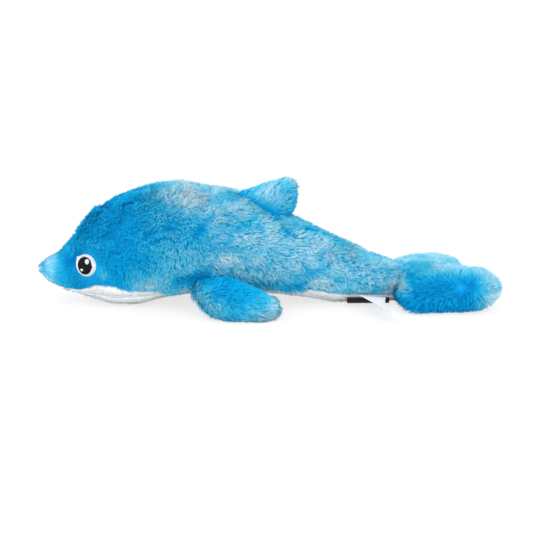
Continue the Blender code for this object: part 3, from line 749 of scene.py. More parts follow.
def pile_piece(name, cloth, pile, seed, material, bare=None, gather=None):
    """The pile of a panel. A strand is a closed spindle: a root, three points where it is widest, and a tip.

    bare says how long the pile may be at a place. gather is given for a side, which alone has folds, and is
    the point that nearby tips are drawn to.
    """
    rng = np.random.default_rng(seed)
    points = cloth.points
    area = np.linalg.norm(facing(points), axis=-1) * (cloth.shown[:-1, :-1] & cloth.shown[1:, 1:])
    count = int(area.sum() * pile.count)
    cell = rng.choice(area.size, size=count, p=(area / area.sum()).ravel())
    row, column = np.unravel_index(cell, area.shape)
    down, across = rng.random(count)[:, None], rng.random(count)[:, None]

    def at_root(values):
        values = values if values.ndim == 3 else values[..., None]
        low = values[row, column] * (1 - across) + values[row, column + 1] * across
        high = values[row + 1, column] * (1 - across) + values[row + 1, column + 1] * across
        return low * (1 - down) + high * down

    root = at_root(points)
    normal = unit(at_root(cloth.normals))
    comb = at_root(cloth.comb)
    tone, length, rise = (at_root(v)[:, 0] for v in (cloth.tone, cloth.length, cloth.rise))
    shorter = np.ones(count) if bare is None else bare(root)
    middle, numbers = tufts(root, pile.tuft, seed)
    own = rng.normal(size=(5, count))
    crack = pile.cracks * cracks(root, seed + 5)
    if gather is not None:
        depth, away = folded(root)
        crack = np.maximum(crack, depth)
        away[:, 1] *= -np.sign(root[:, 1])
        comb = comb + FOLD_COMB * away

    comb = unit(within(comb, normal))
    wander = pile.skew * (0.9 * soft_noise(root, 14.0, seed + 1) + 0.45 * numbers[0] + 0.45 * own[0])
    comb = turned_about(comb, normal, wander)
    length = length * shorter * (1 + 0.05 * numbers[1] + 0.07 * own[1]) * (1 - 0.45 * crack)
    lift = rise + 0.16 * soft_noise(root, 7.0, seed + 2) + 0.08 * numbers[1] + 0.08 * own[2]
    lift = np.clip(lift, LEAST_LIFT, MOST_LIFT)[:, None]
    inward = within(middle - root, normal)
    pull = (pile.pull * (0.25 + 0.75 * np.clip(numbers[2], 0, 1) ** 0.5))[:, None]

    def step(angle, share):
        return (normal * np.sin(angle) + comb * np.cos(angle)) * length[:, None] * share

    widest = root + step(np.minimum(lift * KNEE_LIFT, MOST_KNEE), KNEE_SHARE) + inward * pull * 0.45
    tip = widest + step(lift * TIP_LIFT, TIP_SHARE) + inward * pull * 0.4
    if gather is not None:
        apart = np.linalg.norm(root - gather, axis=-1, keepdims=True)
        near = rising(NOSE_GATHER - apart, 0, 0.55 * NOSE_GATHER)
        tip = tip + (gather - tip) * 0.92 * near
        widest = widest + (gather - widest) * 0.4 * near
    tip[:, 2] = np.maximum(tip[:, 2], LOWEST_TIP)
    widest[:, 2] = np.maximum(widest[:, 2], LOWEST_TIP + pile.width)

    axis = unit(tip - root)
    side = unit(np.cross(axis, normal + 1e-4))
    third = np.cross(axis, side)
    width = (pile.width / 2) * (0.8 + 0.4 * rng.random(count)) * np.clip(shorter + 0.3, 0.5, 1.0)
    root = root - normal * ROOT_DEPTH
    spindle, shading = [root], [normal]
    for angle in 2 * math.pi * np.arange(3) / 3:
        outward = side * math.cos(angle) + third * math.sin(angle)
        spindle.append(widest + width[:, None] * outward)
        shading.append(unit(normal + pile.roundness * outward))
    spindle = np.stack([*spindle, tip], 1)
    shading = np.stack([*shading, unit(normal + 0.3 * axis)], 1)
    spindle[..., 2] = np.maximum(spindle[..., 2], LOWEST_POINT)

    mottle = 0.6 * soft_noise(root * (0.7, 1, 1), 6.0, seed + 3) + 0.3 * numbers[3] + 0.2 * own[3]
    # painted shade: the tone is darkened along partings and folds, where the crease's shade falls
    tone = np.clip(tone + pile.mottle * mottle * (0.1 + 1.2 * tone) - 0.42 * crack, 0.02, 0.98)
    corners = (STRAND_SHAPE + 5 * np.arange(count)[:, None, None]).ravel()
    across_map = np.clip(tone[:, None] + np.array((0.0, -0.004, 0.004, 0.0, 0.0)), 0.01, 0.99)
    heights = np.broadcast_to((0.0, 0.5, 0.5, 0.5, 1.0), across_map.shape)
    maps = np.stack([across_map, heights], -1)[:, STRAND_SHAPE].reshape(-1, 2)
    places, shading = in_frame(spindle.reshape(-1, 3)), shading.reshape(-1, 3)
    return mesh_piece(name, places, corners, 3, material, maps, shading)


def sew_panel(name, node, slot, cloth, pile, backing, material, seed, bare=None, gather=None):
    """Makes a panel's backing and its pile, and puts both on the model."""
    put_on(cloth_piece(f"{name}_cloth", cloth, backing, material), node)
    put_on(pile_piece(f"{name}_pile", cloth, pile, seed, material, bare, gather), node)


# Materials


def add_node(tree, kind, inputs=(), **settings):
    """A shader node. An input is given the socket that feeds it, or else a plain value."""
    node = tree.nodes.new(kind)
    for name, value in settings.items():
        setattr(node, name, value)
    for socket, value in dict(inputs).items():
        if isinstance(value, bpy.types.NodeSocket):
            tree.links.new(value, node.inputs[socket])
        else:
            node.inputs[socket].default_value = value
    return node


def new_material(name, roughness, sheen, specular):
    """The tree and the Principled shader of a new material, with its constants on the shader's sockets."""
    material = bpy.data.materials.new(name)
    material.use_nodes = True
    shader = material.node_tree.nodes["Principled BSDF"]
    values = {"Roughness": roughness, "Specular IOR Level": specular, "Sheen Weight": sheen}
    for socket, value in (values | {"Sheen Roughness": 0.5}).items():
        shader.inputs[socket].default_value = value
    return material.node_tree, shader


def ramp(tree, source, stops):
    """A colour ramp with stops of (place, colour)."""
    node = add_node(tree, "ShaderNodeValToRGB", {"Fac": source})
    node.color_ramp.interpolation = "EASE"
    elements = node.color_ramp.elements
    while len(elements) < len(stops):
        elements.new(0.5)
    for element, (place, colour) in zip(elements, stops, strict=True):
        element.position = place
        element.color = (*colour, 1.0)
    return node.outputs["Color"]


def pile_material(name, tips, roots, start, end):
    """Dyed pile: across the piece's map runs the tone, and up it the place along the strand.

    tips and roots are colours for tones from 0 to 1. A strand turns from one to the other from start to end.
    """
    tree, shader = new_material(name, 0.85, 0.0, 0.06)
    places = add_node(tree, "ShaderNodeUVMap", uv_map=PILE_MAP)
    apart = add_node(tree, "ShaderNodeSeparateXYZ", {"Vector": places.outputs["UV"]})

    def dyed(colours):
        stops = list(zip(np.linspace(0, 1, len(colours)), colours, strict=True))
        return ramp(tree, apart.outputs["X"], stops)

    share = ramp(tree, apart.outputs["Y"], [(start, (0, 0, 0)), (end, (1, 1, 1))])
    colours = {"Factor": share, "A": dyed(roots), "B": dyed(tips)}
    mix = add_node(tree, "ShaderNodeMix", colours, data_type="RGBA")
    tree.links.new(mix.outputs["Result"], shader.inputs["Base Color"])


def grained(tree, shader, grain, colour, shade, reach, strength, depth):
    """Gives a shader the grain of a node: darker where it is low, and in relief."""
    source = grain.outputs["Fac"]
    darker = tuple(c * shade for c in colour)
    shown = ramp(tree, source, [(reach[0], darker), (reach[1], tuple(colour))])
    tree.links.new(shown, shader.inputs["Base Color"])
    relief = add_node(tree, "ShaderNodeBump", {"Strength": strength, "Distance": depth, "Height": source})
    tree.links.new(relief.outputs["Normal"], shader.inputs["Normal"])


def fibre_material(name, colour, shade, scale, roughness, sheen, specular, depth):
    """Thread or filling: its own fine grain in colour and relief."""
    tree, shader = new_material(name, roughness, sheen, specular)
    places = add_node(tree, "ShaderNodeTexCoord").outputs["Object"]
    grain = add_node(tree, "ShaderNodeTexNoise", {"Scale": scale, "Detail": 4.0, "Vector": places})
    grained(tree, shader, grain, colour, shade, (0.3, 0.7), 0.35, depth)


def satin_material(name, colour, shade, roughness, sheen):
    """Woven satin: fine warp threads along the label's own map."""
    tree, shader = new_material(name, roughness, sheen, 0.2)
    places = add_node(tree, "ShaderNodeUVMap", uv_map=PILE_MAP).outputs["UV"]
    threads = {"Scale": 12.0, "Distortion": 0.6, "Detail": 1.0, "Vector": places}
    warp = add_node(tree, "ShaderNodeTexWave", threads, wave_type="BANDS", bands_direction="X")
    grained(tree, shader, warp, colour, shade, (0.0, 1.0), 0.25, 0.0001)


# Body


def side_tone(from_nose, turn):
    """The tone of the back and the sides, with painted shade by the eye and by the flipper's root."""
    tone = np.interp(from_nose, TONE_PLACES, TONES_ALONG)
    degrees = np.degrees(turn)
    for patch in DYE_AND_SHADE_PATCHES:
        along, around = (from_nose - patch.from_nose) / patch.length, (degrees - patch.turn) / patch.width
        share = patch.strength * np.exp(-(along**2) - around**2)
        tone = tone * (1 - share) + patch.tone * share
    return tone


def eye_frame(side):
    """A frame on the head at the eye. Y points up and Z out. side is -1 on the left and 1 on the right."""
    turn = math.radians(EYE_TURN)
    on_head = body_outside(EYE_FROM_NOSE, turn)
    mirror = np.array((1.0, -side, 1.0))
    out = Vector(body_normal(np.array([EYE_FROM_NOSE]), np.array([turn]))[0] * mirror).normalized()
    up = (Vector((0, 0, 1)) - out * out.z).normalized()
    axes = Matrix((up.cross(out), up, out)).transposed().to_4x4()
    return Matrix.Translation(Vector(on_head * mirror)) @ axes


def clear_of_eye(side, width, height):
    """How long the pile may be near the eye on one side: none on it, and short beside it."""
    to_eye = np.array(eye_frame(side).inverted())

    def shorter(points):
        local = points @ to_eye[:3, :3].T + to_eye[:3, 3]
        reach = np.hypot(local[:, 0] / (width / 2 + EYE_CLEARING), local[:, 1] / (height / 2 + EYE_CLEARING))
        beside = rising(reach, 1.0, 0.75)
        return np.where(np.abs(local[:, 2]) < 12, np.where(reach < 1, 0.02, 0.22 + 0.78 * beside), 1.0)

    return shorter


def body_cloth(turns, inset, side, white, sizes):
    """A panel of the body between two seams, as a grid. The right side, 1, is the left one mirrored."""
    rows, low, high, columns = turns
    share = np.linspace(0, 1, columns + 1)
    turn = low[:, None] + (high - low)[:, None] * share
    from_nose = np.repeat(rows[:, None], columns + 1, axis=1)
    outer, normals = body_outside(from_nose, turn), body_normal(from_nose, turn)
    depth = inset * np.clip(from_nose / 10.0, 0.35, 1.0)
    if white:
        arc = np.linalg.norm(np.diff(outer, axis=1), axis=-1).sum(1)[:, None]
        from_seam = np.minimum(share, 1 - share) * arc
        depth = depth + 1.1 * bell(from_seam, 1.6) - 0.5 * rising(from_seam, 0, 8.0)
    points = outer - normals * depth[..., None]
    points[..., 2] = np.maximum(points[..., 2], sizes.backing / MM + 0.1)

    backward = unit(np.gradient(outer, axis=0))
    downward = normals * normals[..., 2:] - (0.0, 0.0, 1.0)
    forward = (1 - rising(from_nose, 15.0, 9.0))[..., None]
    comb = (0.6 * backward + 0.8 * downward) * (1 - forward) + unit(NOSE_POINT - outer) * forward
    if white:
        by_seam = bell(from_seam, 1.3)
        # painted shade: greyer along the seams, in the seam grooves; the pile is shorter there too
        tone = 0.8 - 0.9 * by_seam
        length = sizes.white_length / MM * (1 - 0.6 * by_seam)
        rise = np.full(turn.shape, 0.35)
    else:
        forehead = np.exp(-(((from_nose - FOREHEAD) / FOREHEAD_REACH) ** 4))
        points += normals * (FOREHEAD_LIFT * forehead)[..., None]
        tone = side_tone(from_nose, turn)
        length = sizes.pile_length / MM * np.interp(from_nose, PILE_PLACES, PILE_SHARES)
        rise = np.interp(from_nose, RISE_PLACES, RISES)
        from_seam = (high[:, None] - turn) * body_value("half_width", from_nose)
        by_seam = bell(from_seam, 6.5) * rising(from_nose, 0, 20.0)
        hanging = bell(from_nose - HANGING_REAR, 14.0) + bell(from_nose - HANGING_FRONT, 8.0)
        length = length * (1 - 0.66 * by_seam * (1 - hanging))
        rise = rise * (1 - 0.3 * by_seam)
        level = (rising(from_nose, HANGING_REAR + 4.0, 12.0) * bell(from_seam, 11.0))[..., None]
        comb = comb * (1 - level) + backward * level
        from_labels = (from_nose - WHITE_LABEL_FROM_NOSE) / LABELS_REACH
        length = length * (1 - 0.75 * np.exp(-(from_labels**4) - (from_seam / 7.0) ** 2))
    if side > 0:
        mirror = np.array((1.0, -1.0, 1.0))
        points, normals, comb = points * mirror, normals * mirror, comb * mirror
    return Cloth(points, normals, comb, tone, length, rise, np.ones(turn.shape, bool))


def body_rows(start):
    """Distances from the nose, closer together at the nose."""
    nose = NOSE_ROUNDING * (1 - np.cos(np.linspace(0, math.pi / 2, 9)))
    rest = np.arange(NOSE_ROUNDING + ROW_SPACING, TAIL_END, ROW_SPACING)
    rows = np.concatenate([nose, rest, [TAIL_END]])
    return np.concatenate([[start], rows[rows > start + ROW_SPACING / 2]])


def side_turns():
    """From the ridge to the side seam."""
    rows = body_rows(0.0)
    seam = np.where(body_value("side_seam", rows) > 0, seam_angle("side_seam", rows), math.pi)
    return rows, np.full(len(rows), 0.004), seam, SIDE_COLUMNS


def strip_turns():
    """From the side seam to the gusset seam."""
    rows = body_rows(STRIP_START)
    return rows, seam_angle("side_seam", rows), seam_angle("gusset_seam", rows), STRIP_COLUMNS


def gusset_turns():
    """Across the keel, from one gusset seam to the other."""
    rows = body_rows(GUSSET_START)
    seam = seam_angle("gusset_seam", rows)
    return rows, seam, 2 * math.pi - seam, GUSSET_COLUMNS


class PLUSH_OT_body(bpy.types.Operator):
    """Sew the two blue side panels, with their pile"""

    bl_idname = "plush.sew_body"
    bl_label = "Sew the sides"

    def execute(self, context):
        sizes = context.scene.plush_sizes
        blue = bpy.data.materials["blue_pile"]
        pile = Pile(sizes.pile_count, sizes.pile_width / MM, 2.6, 0.38, 0.36, 0.8, 1.0, 0.4)
        for side, word in ((-1, "left"), (1, "right")):
            name, node = f"{word}_side", f"{word}_side_panel"
            panel = body_cloth(side_turns(), sizes.cloth_inset / MM, side, False, sizes)
            near_eye = clear_of_eye(side, sizes.eye_width / MM, sizes.eye_height / MM)
            look = (panel, pile, sizes.backing, blue, 11 + side, near_eye, NOSE_POINT)
            sew_panel(name, node, "blue_plush", *look)
        return {"FINISHED"}


class PLUSH_OT_belly(bpy.types.Operator):
    """Sew the white belly: two strips and the gusset across the keel"""

    bl_idname = "plush.sew_belly"
    bl_label = "Sew the belly"

    def execute(self, context):
        sizes = context.scene.plush_sizes
        white = bpy.data.materials["white_pile"]
        pile = Pile(sizes.white_count, sizes.white_width / MM, 2.2, 0.3, 0.35, 0.6, 0.0, 1.1)
        pressed = pile._replace(count=pile.count * GUSSET_SHARE)
        panels = (
            ("left_belly_strip", -1, strip_turns(), pile),
            ("right_belly_strip", 1, strip_turns(), pile),
            ("belly_gusset", 0, gusset_turns(), pressed),
        )
        for seed, (node, side, turns, kind) in enumerate(panels, 31):
            panel = body_cloth(turns, WHITE_INSET, side, True, sizes)
            sew_panel(node, node, "white_plush", panel, kind, sizes.backing, white, seed)
        return {"FINISHED"}


# Fins


def fin_cloth(fin, half, rows, columns, look):
    """One of a fin's two panels as a grid. look gives its comb, tone, length and rise from its points."""
    turns = half * np.linspace(0.0, math.pi, columns + 1)
    along, turn = np.meshgrid(fin.rows(rows), turns, indexing="ij")
    points = fin.surface(along, turn, inset=FIN_INSET)
    normals = unit(np.cross(np.gradient(points, axis=1), np.gradient(points, axis=0)))
    middle = (fin.edge("leading", along) + fin.edge("trailing", along)) / 2 + fin.anchor
    if np.sum(normals * (points - middle)) < 0:
        normals = -normals
    normals = unit(normals + 1e-3 * unit(points - middle))
    shown = ~in_body(points, FIN_HIDDEN)
    comb, tone, length, rise = look(points, along, turn)
    points[..., 2] = np.maximum(points[..., 2], FIN_LOWEST)
    return Cloth(points, normals, comb, tone, length, rise, shown)


def near_body(points):
    """1 where a point touches the body, and 0 from 6 mm off it."""
    closeness = np.zeros(points.shape[:-1])
    for step in range(6):
        closeness = np.maximum(closeness, np.where(in_body(points, -step), 1 - step / 6, 0.0))
    return closeness


def dorsal_look(pile_length):
    """The dorsal fin: frosted, streaked and combed up and back, with a strong blue rear edge, and painted
    shade where it meets the body.
    """

    def look(points, along, turn):
        comb = np.broadcast_to((0.75, 0.0, 0.55), points.shape)
        at_rear = rising(-np.cos(turn), 0.55, 0.45) * rising(0.75 - along, 0, 0.4)
        tone = 0.6 + 0.16 * rising(along, 0.3, 0.5)
        tone = tone * (1 - at_rear) + 0.34 * at_rear
        shade_and_trim_by_body = near_body(points)
        # painted shade: the tone is darker where the fin meets the body, and the pile is shorter there
        return comb, tone - 0.5 * shade_and_trim_by_body**2, pile_length * (0.78 - 0.3 * shade_and_trim_by_body), np.full(along.shape, 0.5)

    return look


def flipper_look(pile_length, side):
    """A flipper: strong blue, combed back and out to a paler tip, with painted shade where it meets the body.
    """

    def look(points, along, turn):
        comb = np.broadcast_to((0.92, -0.3 * side, -0.18), points.shape)
        rim = rising(np.cos(turn), 0.2, 0.6)
        tone = 0.24 + 0.46 * rising(along, 0.62, 0.22)
        tone = tone + 0.34 * rim * np.clip(0.7 + soft_noise(points, 7.0, RIM_SALT), 0, 1.6)
        tone = tone + 0.2 * np.clip(soft_noise(points, 6.0, RIM_SALT + 1), 0, 1)
        from_patch = np.linalg.norm(points - PALE_BY_FLIPPER_ROOT * (1.0, side, 1.0), axis=-1)
        shade_and_trim_by_body = near_body(points)
        # painted shade: the tone is darker where the flipper meets the body
        tone = tone + 0.5 * bell(from_patch, 7.0) - 0.28 * shade_and_trim_by_body**2
        return comb, tone, pile_length * (0.8 - 0.3 * shade_and_trim_by_body), np.full(along.shape, 0.36)

    return look


def fluke_look(pile_length):
    """The fluke: the left lobe's pile runs out from a parting on its edge, and the right lobe is frosted. The
    left lobe's lower front and the places against the body are darkened as painted shade.
    """

    def look(points, along, turn):
        x, y, z = np.moveaxis(points, -1, 0)
        from_parting = unit(off_line(points, PARTING_START, PARTING_END))
        to_side = np.where(y > 0, 1.0, -1.0)[..., None] * np.array((0.0, 1.0, 0.0))
        left = rising(6.0 - y, 0, 16.0)
        comb = unit(from_parting + (0.15, 0.0, 0.0)) * left[..., None]
        comb = comb + unit(to_side + (0.8, 0.0, 0.0)) * (1 - left[..., None])
        back_end, top, hem = rising(x, 270.0, 13.0), rising(z, 18.6, 6.0), rising(6.0 - z, 0, 5.0)
        near = NEAR_TONE + 0.61 * back_end + 0.54 * top * (1 - back_end) + 0.16 * hem
        near = near - 0.5 * bell(np.linalg.norm(points - DARK_SPOT, axis=-1), 2.6)
        # painted shade on the near lobe's lower front, its shadow side
        near = near * (1 - 0.75 * rising(262.0 - x, 0, 14.0) * rising(12.0 - z, 0, 8.0))
        tone = near * left + FAR_TONE * (1 - left)
        by_tail = rising(239.0 - x, 0, 3.0) * rising(z, 12.5, 3.0)
        tone = tone + (BY_TAIL_TONE - tone) * by_tail
        shade_and_trim_by_body = near_body(points)
        # painted shade where the fluke meets the body
        tone = tone - 0.3 * shade_and_trim_by_body**2 * (1 - by_tail)
        front_corner = rising(254.0 - x, 0, 12.0) * rising(17.0 - z, 0, 9.0)
        comb = comb + (front_corner * left)[..., None] * np.array((-0.8, -0.2, -0.8))
        longer = 0.6 * front_corner + (0.35 * top - 0.08) * back_end
        length = pile_length * (0.82 - 0.25 * shade_and_trim_by_body + longer * left)
        return comb, tone, length, 0.55 + 0.35 * (1 - left) + 0.3 * back_end * left

    return look


class PLUSH_OT_fins(bpy.types.Operator):
    """Sew the dorsal fin, the two flippers and the tail fluke"""

    bl_idname = "plush.sew_fins"
    bl_label = "Sew the fins"

    def execute(self, context):
        sizes = context.scene.plush_sizes
        length = sizes.pile_length / MM
        pile = Pile(sizes.pile_count, sizes.pile_width / MM, 2.6, 0.34, 0.3, 0.6, 0.5, 0.45)
        blue = bpy.data.materials["blue_pile"]
        fins = [(dorsal_fin(), ("dorsal_left", "dorsal_right"), dorsal_look(length), (51, 52), 36, 24)]
        for side, word in ((1, "left"), (-1, "right")):
            names = (f"{word}_flipper_upper", f"{word}_flipper_lower")
            seeds = (61 + side, 65 + side)
            fins.append((flipper(side), names, flipper_look(length, side), seeds, 44, 24))
        fins.append((fluke(), ("fluke_upper", "fluke_lower"), fluke_look(length), (71, 72), 44, 30))
        for fin, names, look, seeds, rows, columns in fins:
            for half, name, seed in zip((1, -1), names, seeds, strict=True):
                node = f"{name.replace('dorsal', 'dorsal_fin')}_panel"
                panel = fin_cloth(fin, half, rows, columns, look)
                sew_panel(name, node, "blue_plush", panel, pile, sizes.backing, blue, seed)
        return {"FINISHED"}


class PLUSH_OT_filling(bpy.types.Operator):
    """Fill the body and the fins with lumps of polyester fibre"""

    bl_idname = "plush.fill"
    bl_label = "Fill the toy"

    def execute(self, context):
        lumps = bpy.data.textures.new("fibre_lumps", "CLOUDS")
        lumps.noise_scale = 9 * MM
        displaced = {"texture": lumps, "texture_coords": "LOCAL", "mid_level": 1.0, "strength": 1.6 * MM}
        for node in sorted(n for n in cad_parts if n.endswith("_stuffing")):
            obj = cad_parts[node].copy()
            obj.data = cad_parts[node].data.copy()
            obj.name = obj.data.name = node.replace("_stuffing", "_filling")
            for key in list(obj.keys()):
                del obj[key]
            obj.parent = None
            context.scene.collection.objects.link(obj)
            select_only(obj)
            modified(obj, "REMESH", mode="VOXEL", voxel_size=1.6 * MM)
            modified(obj, "DISPLACE", **displaced)
            bpy.ops.object.shade_smooth()
            obj.data.materials.clear()
            obj.data.materials.append(bpy.data.materials["fibre_filling"])
            put_on(obj, node)
        return {"FINISHED"}


# Eyes


def oval_reach(angle, corner):
    """How far an oval's edge is at an angle, with a drawn-out corner towards the nose and up."""
    off = (angle - math.radians(150) + math.pi) % (2 * math.pi) - math.pi
    return 1 + corner * np.exp(-((off / math.radians(13)) ** 2))


def embroider(name, size, base, height, pitch, slant, corner, local, material):
    """An oval of satin stitches laid side by side over a low dome. local takes its places onto the head."""
    half_width, half_height = size[0] / 2, size[1] / 2
    first = -half_width * (1 + corner) if corner else -half_width + pitch / 2
    lean = math.tan(slant)
    share = 0.5 - 0.5 * np.cos(np.linspace(0, math.pi, STITCH_RINGS))
    thick = pitch * 0.62 * np.sqrt(np.clip(np.sin(math.pi * (0.04 + 0.92 * share)), 0.05, 1))
    around = (np.arange(STITCH_SIDES) * 2 * math.pi / STITCH_SIDES)[:, None]
    stitches = []
    for offset in np.arange(first, half_width, pitch):
        ends = []
        for sign in (-1, 1):
            tries = np.linspace(0, 1.4 * half_height, 140) * sign
            x, y = (offset + tries * lean) / half_width, tries / half_height
            inside = tries[np.hypot(x, y) < oval_reach(np.arctan2(y, x), corner)]
            if len(inside):
                ends.append(inside[np.argmax(np.abs(inside))])
        if len(ends) < 2 or abs(ends[1] - ends[0]) < pitch:
            continue
        y = ends[0] + (ends[1] - ends[0]) * share
        x = offset + y * lean
        radius = np.clip(np.hypot(x / half_width, y / half_height), 0, 1)
        line = np.stack([x, y, base + height * np.sqrt(np.clip(1 - radius**2.6, 0, 1))], -1)
        axis = unit(np.gradient(line, axis=0))
        side = unit(np.cross(axis, (0.0, 0.0, 1.0)))
        ring = side[:, None] * np.cos(around) + np.cross(side, axis)[:, None] * np.sin(around)
        stitches.append((line[:, None] + ring * thick[:, None, None]).reshape(-1, 3))
    index = np.arange(STITCH_RINGS * STITCH_SIDES).reshape(STITCH_RINGS, STITCH_SIDES)
    after = np.roll(index, -1, axis=1)
    walls = np.stack([index[:-1], after[:-1], after[1:], index[1:]], -1).reshape(-1, 4)
    caps = np.array([(0, 1, 2, 3), (3, 4, 5, 0)])
    faces = np.concatenate([walls, index[0][caps][:, ::-1], index[-1][caps]])
    corners = (faces + index.size * np.arange(len(stitches))[:, None, None]).ravel()
    matrix = np.array(local)
    points = np.concatenate(stitches) @ matrix[:3, :3].T + matrix[:3, 3]
    obj = mesh_piece(name, in_frame(points), corners, 4, material)
    select_only(obj)
    bpy.ops.object.mode_set(mode="EDIT")
    bpy.ops.mesh.select_all(action="SELECT")
    bpy.ops.mesh.normals_make_consistent(inside=False)
    bpy.ops.object.mode_set(mode="OBJECT")
    return obj


def padding(name, size, base, height, local, material):
    """The low dome of stitches that the top stitches lie on."""
    bpy.ops.object.select_all(action="DESELECT")
    bpy.ops.mesh.primitive_uv_sphere_add(segments=40, ring_count=20, radius=1)
    obj = bpy.context.object
    obj.name = obj.data.name = name
    shape = Matrix.Diagonal((size[0] / 2, size[1] / 2, height, 1.0))
    obj.data.transform(local @ Matrix.Translation((0, 0, base)) @ shape)
    obj.data.transform(Matrix.Translation((NOSE_X, 0, 0)) @ Matrix.Scale(MM, 4))
    obj.data.shade_smooth()
    obj.data.materials.append(material)
    return obj


def joined(name, parts):
    """Several meshes made one piece."""
    select_only(parts[0])
    for part in parts[1:]:
        part.select_set(True)
    bpy.ops.object.join()
    parts[0].name = parts[0].data.name = name
    return parts[0]


class PLUSH_OT_eyes(bpy.types.Operator):
    """Embroider the two eyes in satin stitch: the white, the pupil and two highlights"""

    bl_idname = "plush.embroider_eyes"
    bl_label = "Embroider the eyes"

    def execute(self, context):
        sizes = context.scene.plush_sizes
        white = bpy.data.materials["white_embroidery"]
        black = bpy.data.materials["black_embroidery"]
        pitch = sizes.thread / MM
        white_size = (sizes.eye_width / MM, sizes.eye_height / MM)
        pupil_size = (sizes.pupil_width / MM, sizes.pupil_height / MM)
        for side, word in ((-1, "left"), (1, "right")):
            # X runs to the tail on both sides, so that one set of places serves both eyes
            local = eye_frame(side) @ Matrix.Diagonal((-side, 1.0, 1.0, 1.0))
            parts = (
                ("eye_white", white_size, 0.0, EYE_STAND, pitch, 0.0, 0.26, (0.0, 0.0), white),
                ("pupil", pupil_size, 1.3, 1.5, pitch, 0.12, 0.0, (-0.1, 0.0), black),
                ("large_highlight", (2.6, 3.6), 2.5, 0.75, HIGHLIGHT_PITCH, 0.0, 0.0, (1.9, 2.8), white),
                ("small_highlight", (2.1, 2.1), 2.2, 0.65, HIGHLIGHT_PITCH, 0.0, 0.0, (-1.7, -2.6), white),
            )
            for name, size, base, height, step, slant, corner, place, thread in parts:
                here = local @ Matrix.Translation((*place, 0.0))
                low = padding(f"{name}_padding", (size[0] * 0.97, size[1] * 0.97), base, height, here, thread)
                top = embroider(f"{name}_stitches", size, base, height, step, slant, corner, here, thread)
                obj = joined(f"{word}_{name}_embroidery", [low, top])
                put_on(obj, f"{word}_{name}")
        return {"FINISHED"}


# Labels


def label_piece(name, line, widths, material):
    """A woven strip along a line of middle points, with a width vector at each, in millimetres."""
    rows = len(line)
    bpy.ops.object.select_all(action="DESELECT")
    bpy.ops.mesh.primitive_grid_add(x_subdivisions=8, y_subdivisions=rows - 1, size=1)
    obj = bpy.context.object
    obj.name = obj.data.name = name
    obj.data.uv_layers[0].name = PILE_MAP
    for vertex in obj.data.vertices:
        row = round((vertex.co.y + 0.5) * (rows - 1))
        vertex.co = Vector(line[row] + widths[row] * vertex.co.x) * MM + Vector((NOSE_X, 0, 0))
    select_only(obj)
    modified(obj, "SOLIDIFY", thickness=LABEL_THICKNESS * MM, offset=0.0)
    modified(obj, "SUBSURF", levels=1, render_levels=1, boundary_smooth="PRESERVE_CORNERS")
    obj.data.materials.append(material)
    bpy.ops.object.shade_smooth_by_angle(angle=math.radians(50))
    return obj


def seam_edge(field, from_nose, width):
    """The middle of a label's sewn edge just outside a seam, and the vector along that edge."""
    places = []
    for share in (-0.5, 0.5):
        at = np.array([from_nose + share * width])
        turn = seam_angle(field, at)
        places.append((body_outside(at, turn) + 0.5 * body_normal(at, turn))[0])
    along = places[1] - places[0]
    return (places[0] + places[1]) / 2, along * width / np.linalg.norm(along)


class PLUSH_OT_labels(bpy.types.Operator):
    """Sew in the two labels: a short folded black one, and a long white one that twists down to the floor"""

    bl_idname = "plush.sew_labels"
    bl_label = "Sew in the labels"

    def execute(self, context):
        sizes = context.scene.plush_sizes
        width, reach = sizes.black_label_width / MM, sizes.black_label_reach / MM
        start, along = seam_edge("gusset_seam", BLACK_LABEL_FROM_NOSE, width)
        share = np.linspace(0, 1, BLACK_ROWS)
        out = np.sin(share * math.pi)[:, None]
        loop = (2.7 * np.cos(share * math.pi))[:, None] * np.sqrt(np.maximum(out, 0))
        line = start + out * (0.0, -reach, 2.6) + loop * np.array((0.0, 0.25, 1.0))
        line[:, 2] = np.maximum(line[:, 2], 0.4)
        satin = bpy.data.materials["short_label"]
        black = label_piece("black_label_satin", line, np.tile(along, (BLACK_ROWS, 1)), satin)
        put_on(black, "black_label")

        width, length = sizes.white_label_width / MM, sizes.white_label_length / MM
        start, along = seam_edge("side_seam", WHITE_LABEL_FROM_NOSE, width)
        fall = start[2] - width / 2 * math.sin(WHITE_TWIST) - 0.6
        across = math.sqrt(max(length**2 - fall**2 - 49.0, 1.0)) * 0.985
        share = np.linspace(0, 1, WHITE_ROWS)[:, None]
        line = start + share * np.array((5.5, -across, -fall))
        line[:, 2] += 2.6 * np.sin(share[:, 0] ** 0.8 * math.pi)
        line[:, 0] -= 5.0 * np.sin(share[:, 0] * math.pi)
        down = np.array((0.0, 0.0, -width))
        widths = np.cos(WHITE_TWIST * share) * along + np.sin(WHITE_TWIST * share) * down
        white = label_piece("white_label_satin", line, widths, bpy.data.materials["long_label"])
        put_on(white, "white_label")
        return {"FINISHED"}


# Materials and stage


class PLUSH_OT_materials(bpy.types.Operator):
    """Dye the pile and the threads"""

    bl_idname = "plush.dye"
    bl_label = "Dye the cloths"

    def execute(self, context):
        dyes = context.scene.plush_dyes
        tips = (dyes.tip_deep, dyes.tip_strong, dyes.tip_mid, dyes.tip_light, dyes.tip_frost)
        roots = (dyes.root_deep, dyes.root_mid, dyes.root_light)
        whites = (dyes.white_seam_shade, dyes.white_tip)
        pile_material("blue_pile", tips, roots, 0.1, 0.85)
        pile_material("white_pile", whites, whites, 0.0, 1.0)
        fibre_material("white_embroidery", dyes.white_thread, 0.86, 2600, 0.5, 0.0, 0.2, 0.00008)
        fibre_material("black_embroidery", dyes.black_thread, 0.6, 2600, 0.45, 0.0, 0.12, 0.00008)
        fibre_material("fibre_filling", dyes.filling, 0.85, 900, 0.9, 0.3, 0.3, 0.0006)
        satin_material("long_label", dyes.white_satin, 0.9, 0.38, 0.2)
        satin_material("short_label", dyes.black_satin, 0.55, 0.4, 0.0)
        return {"FINISHED"}


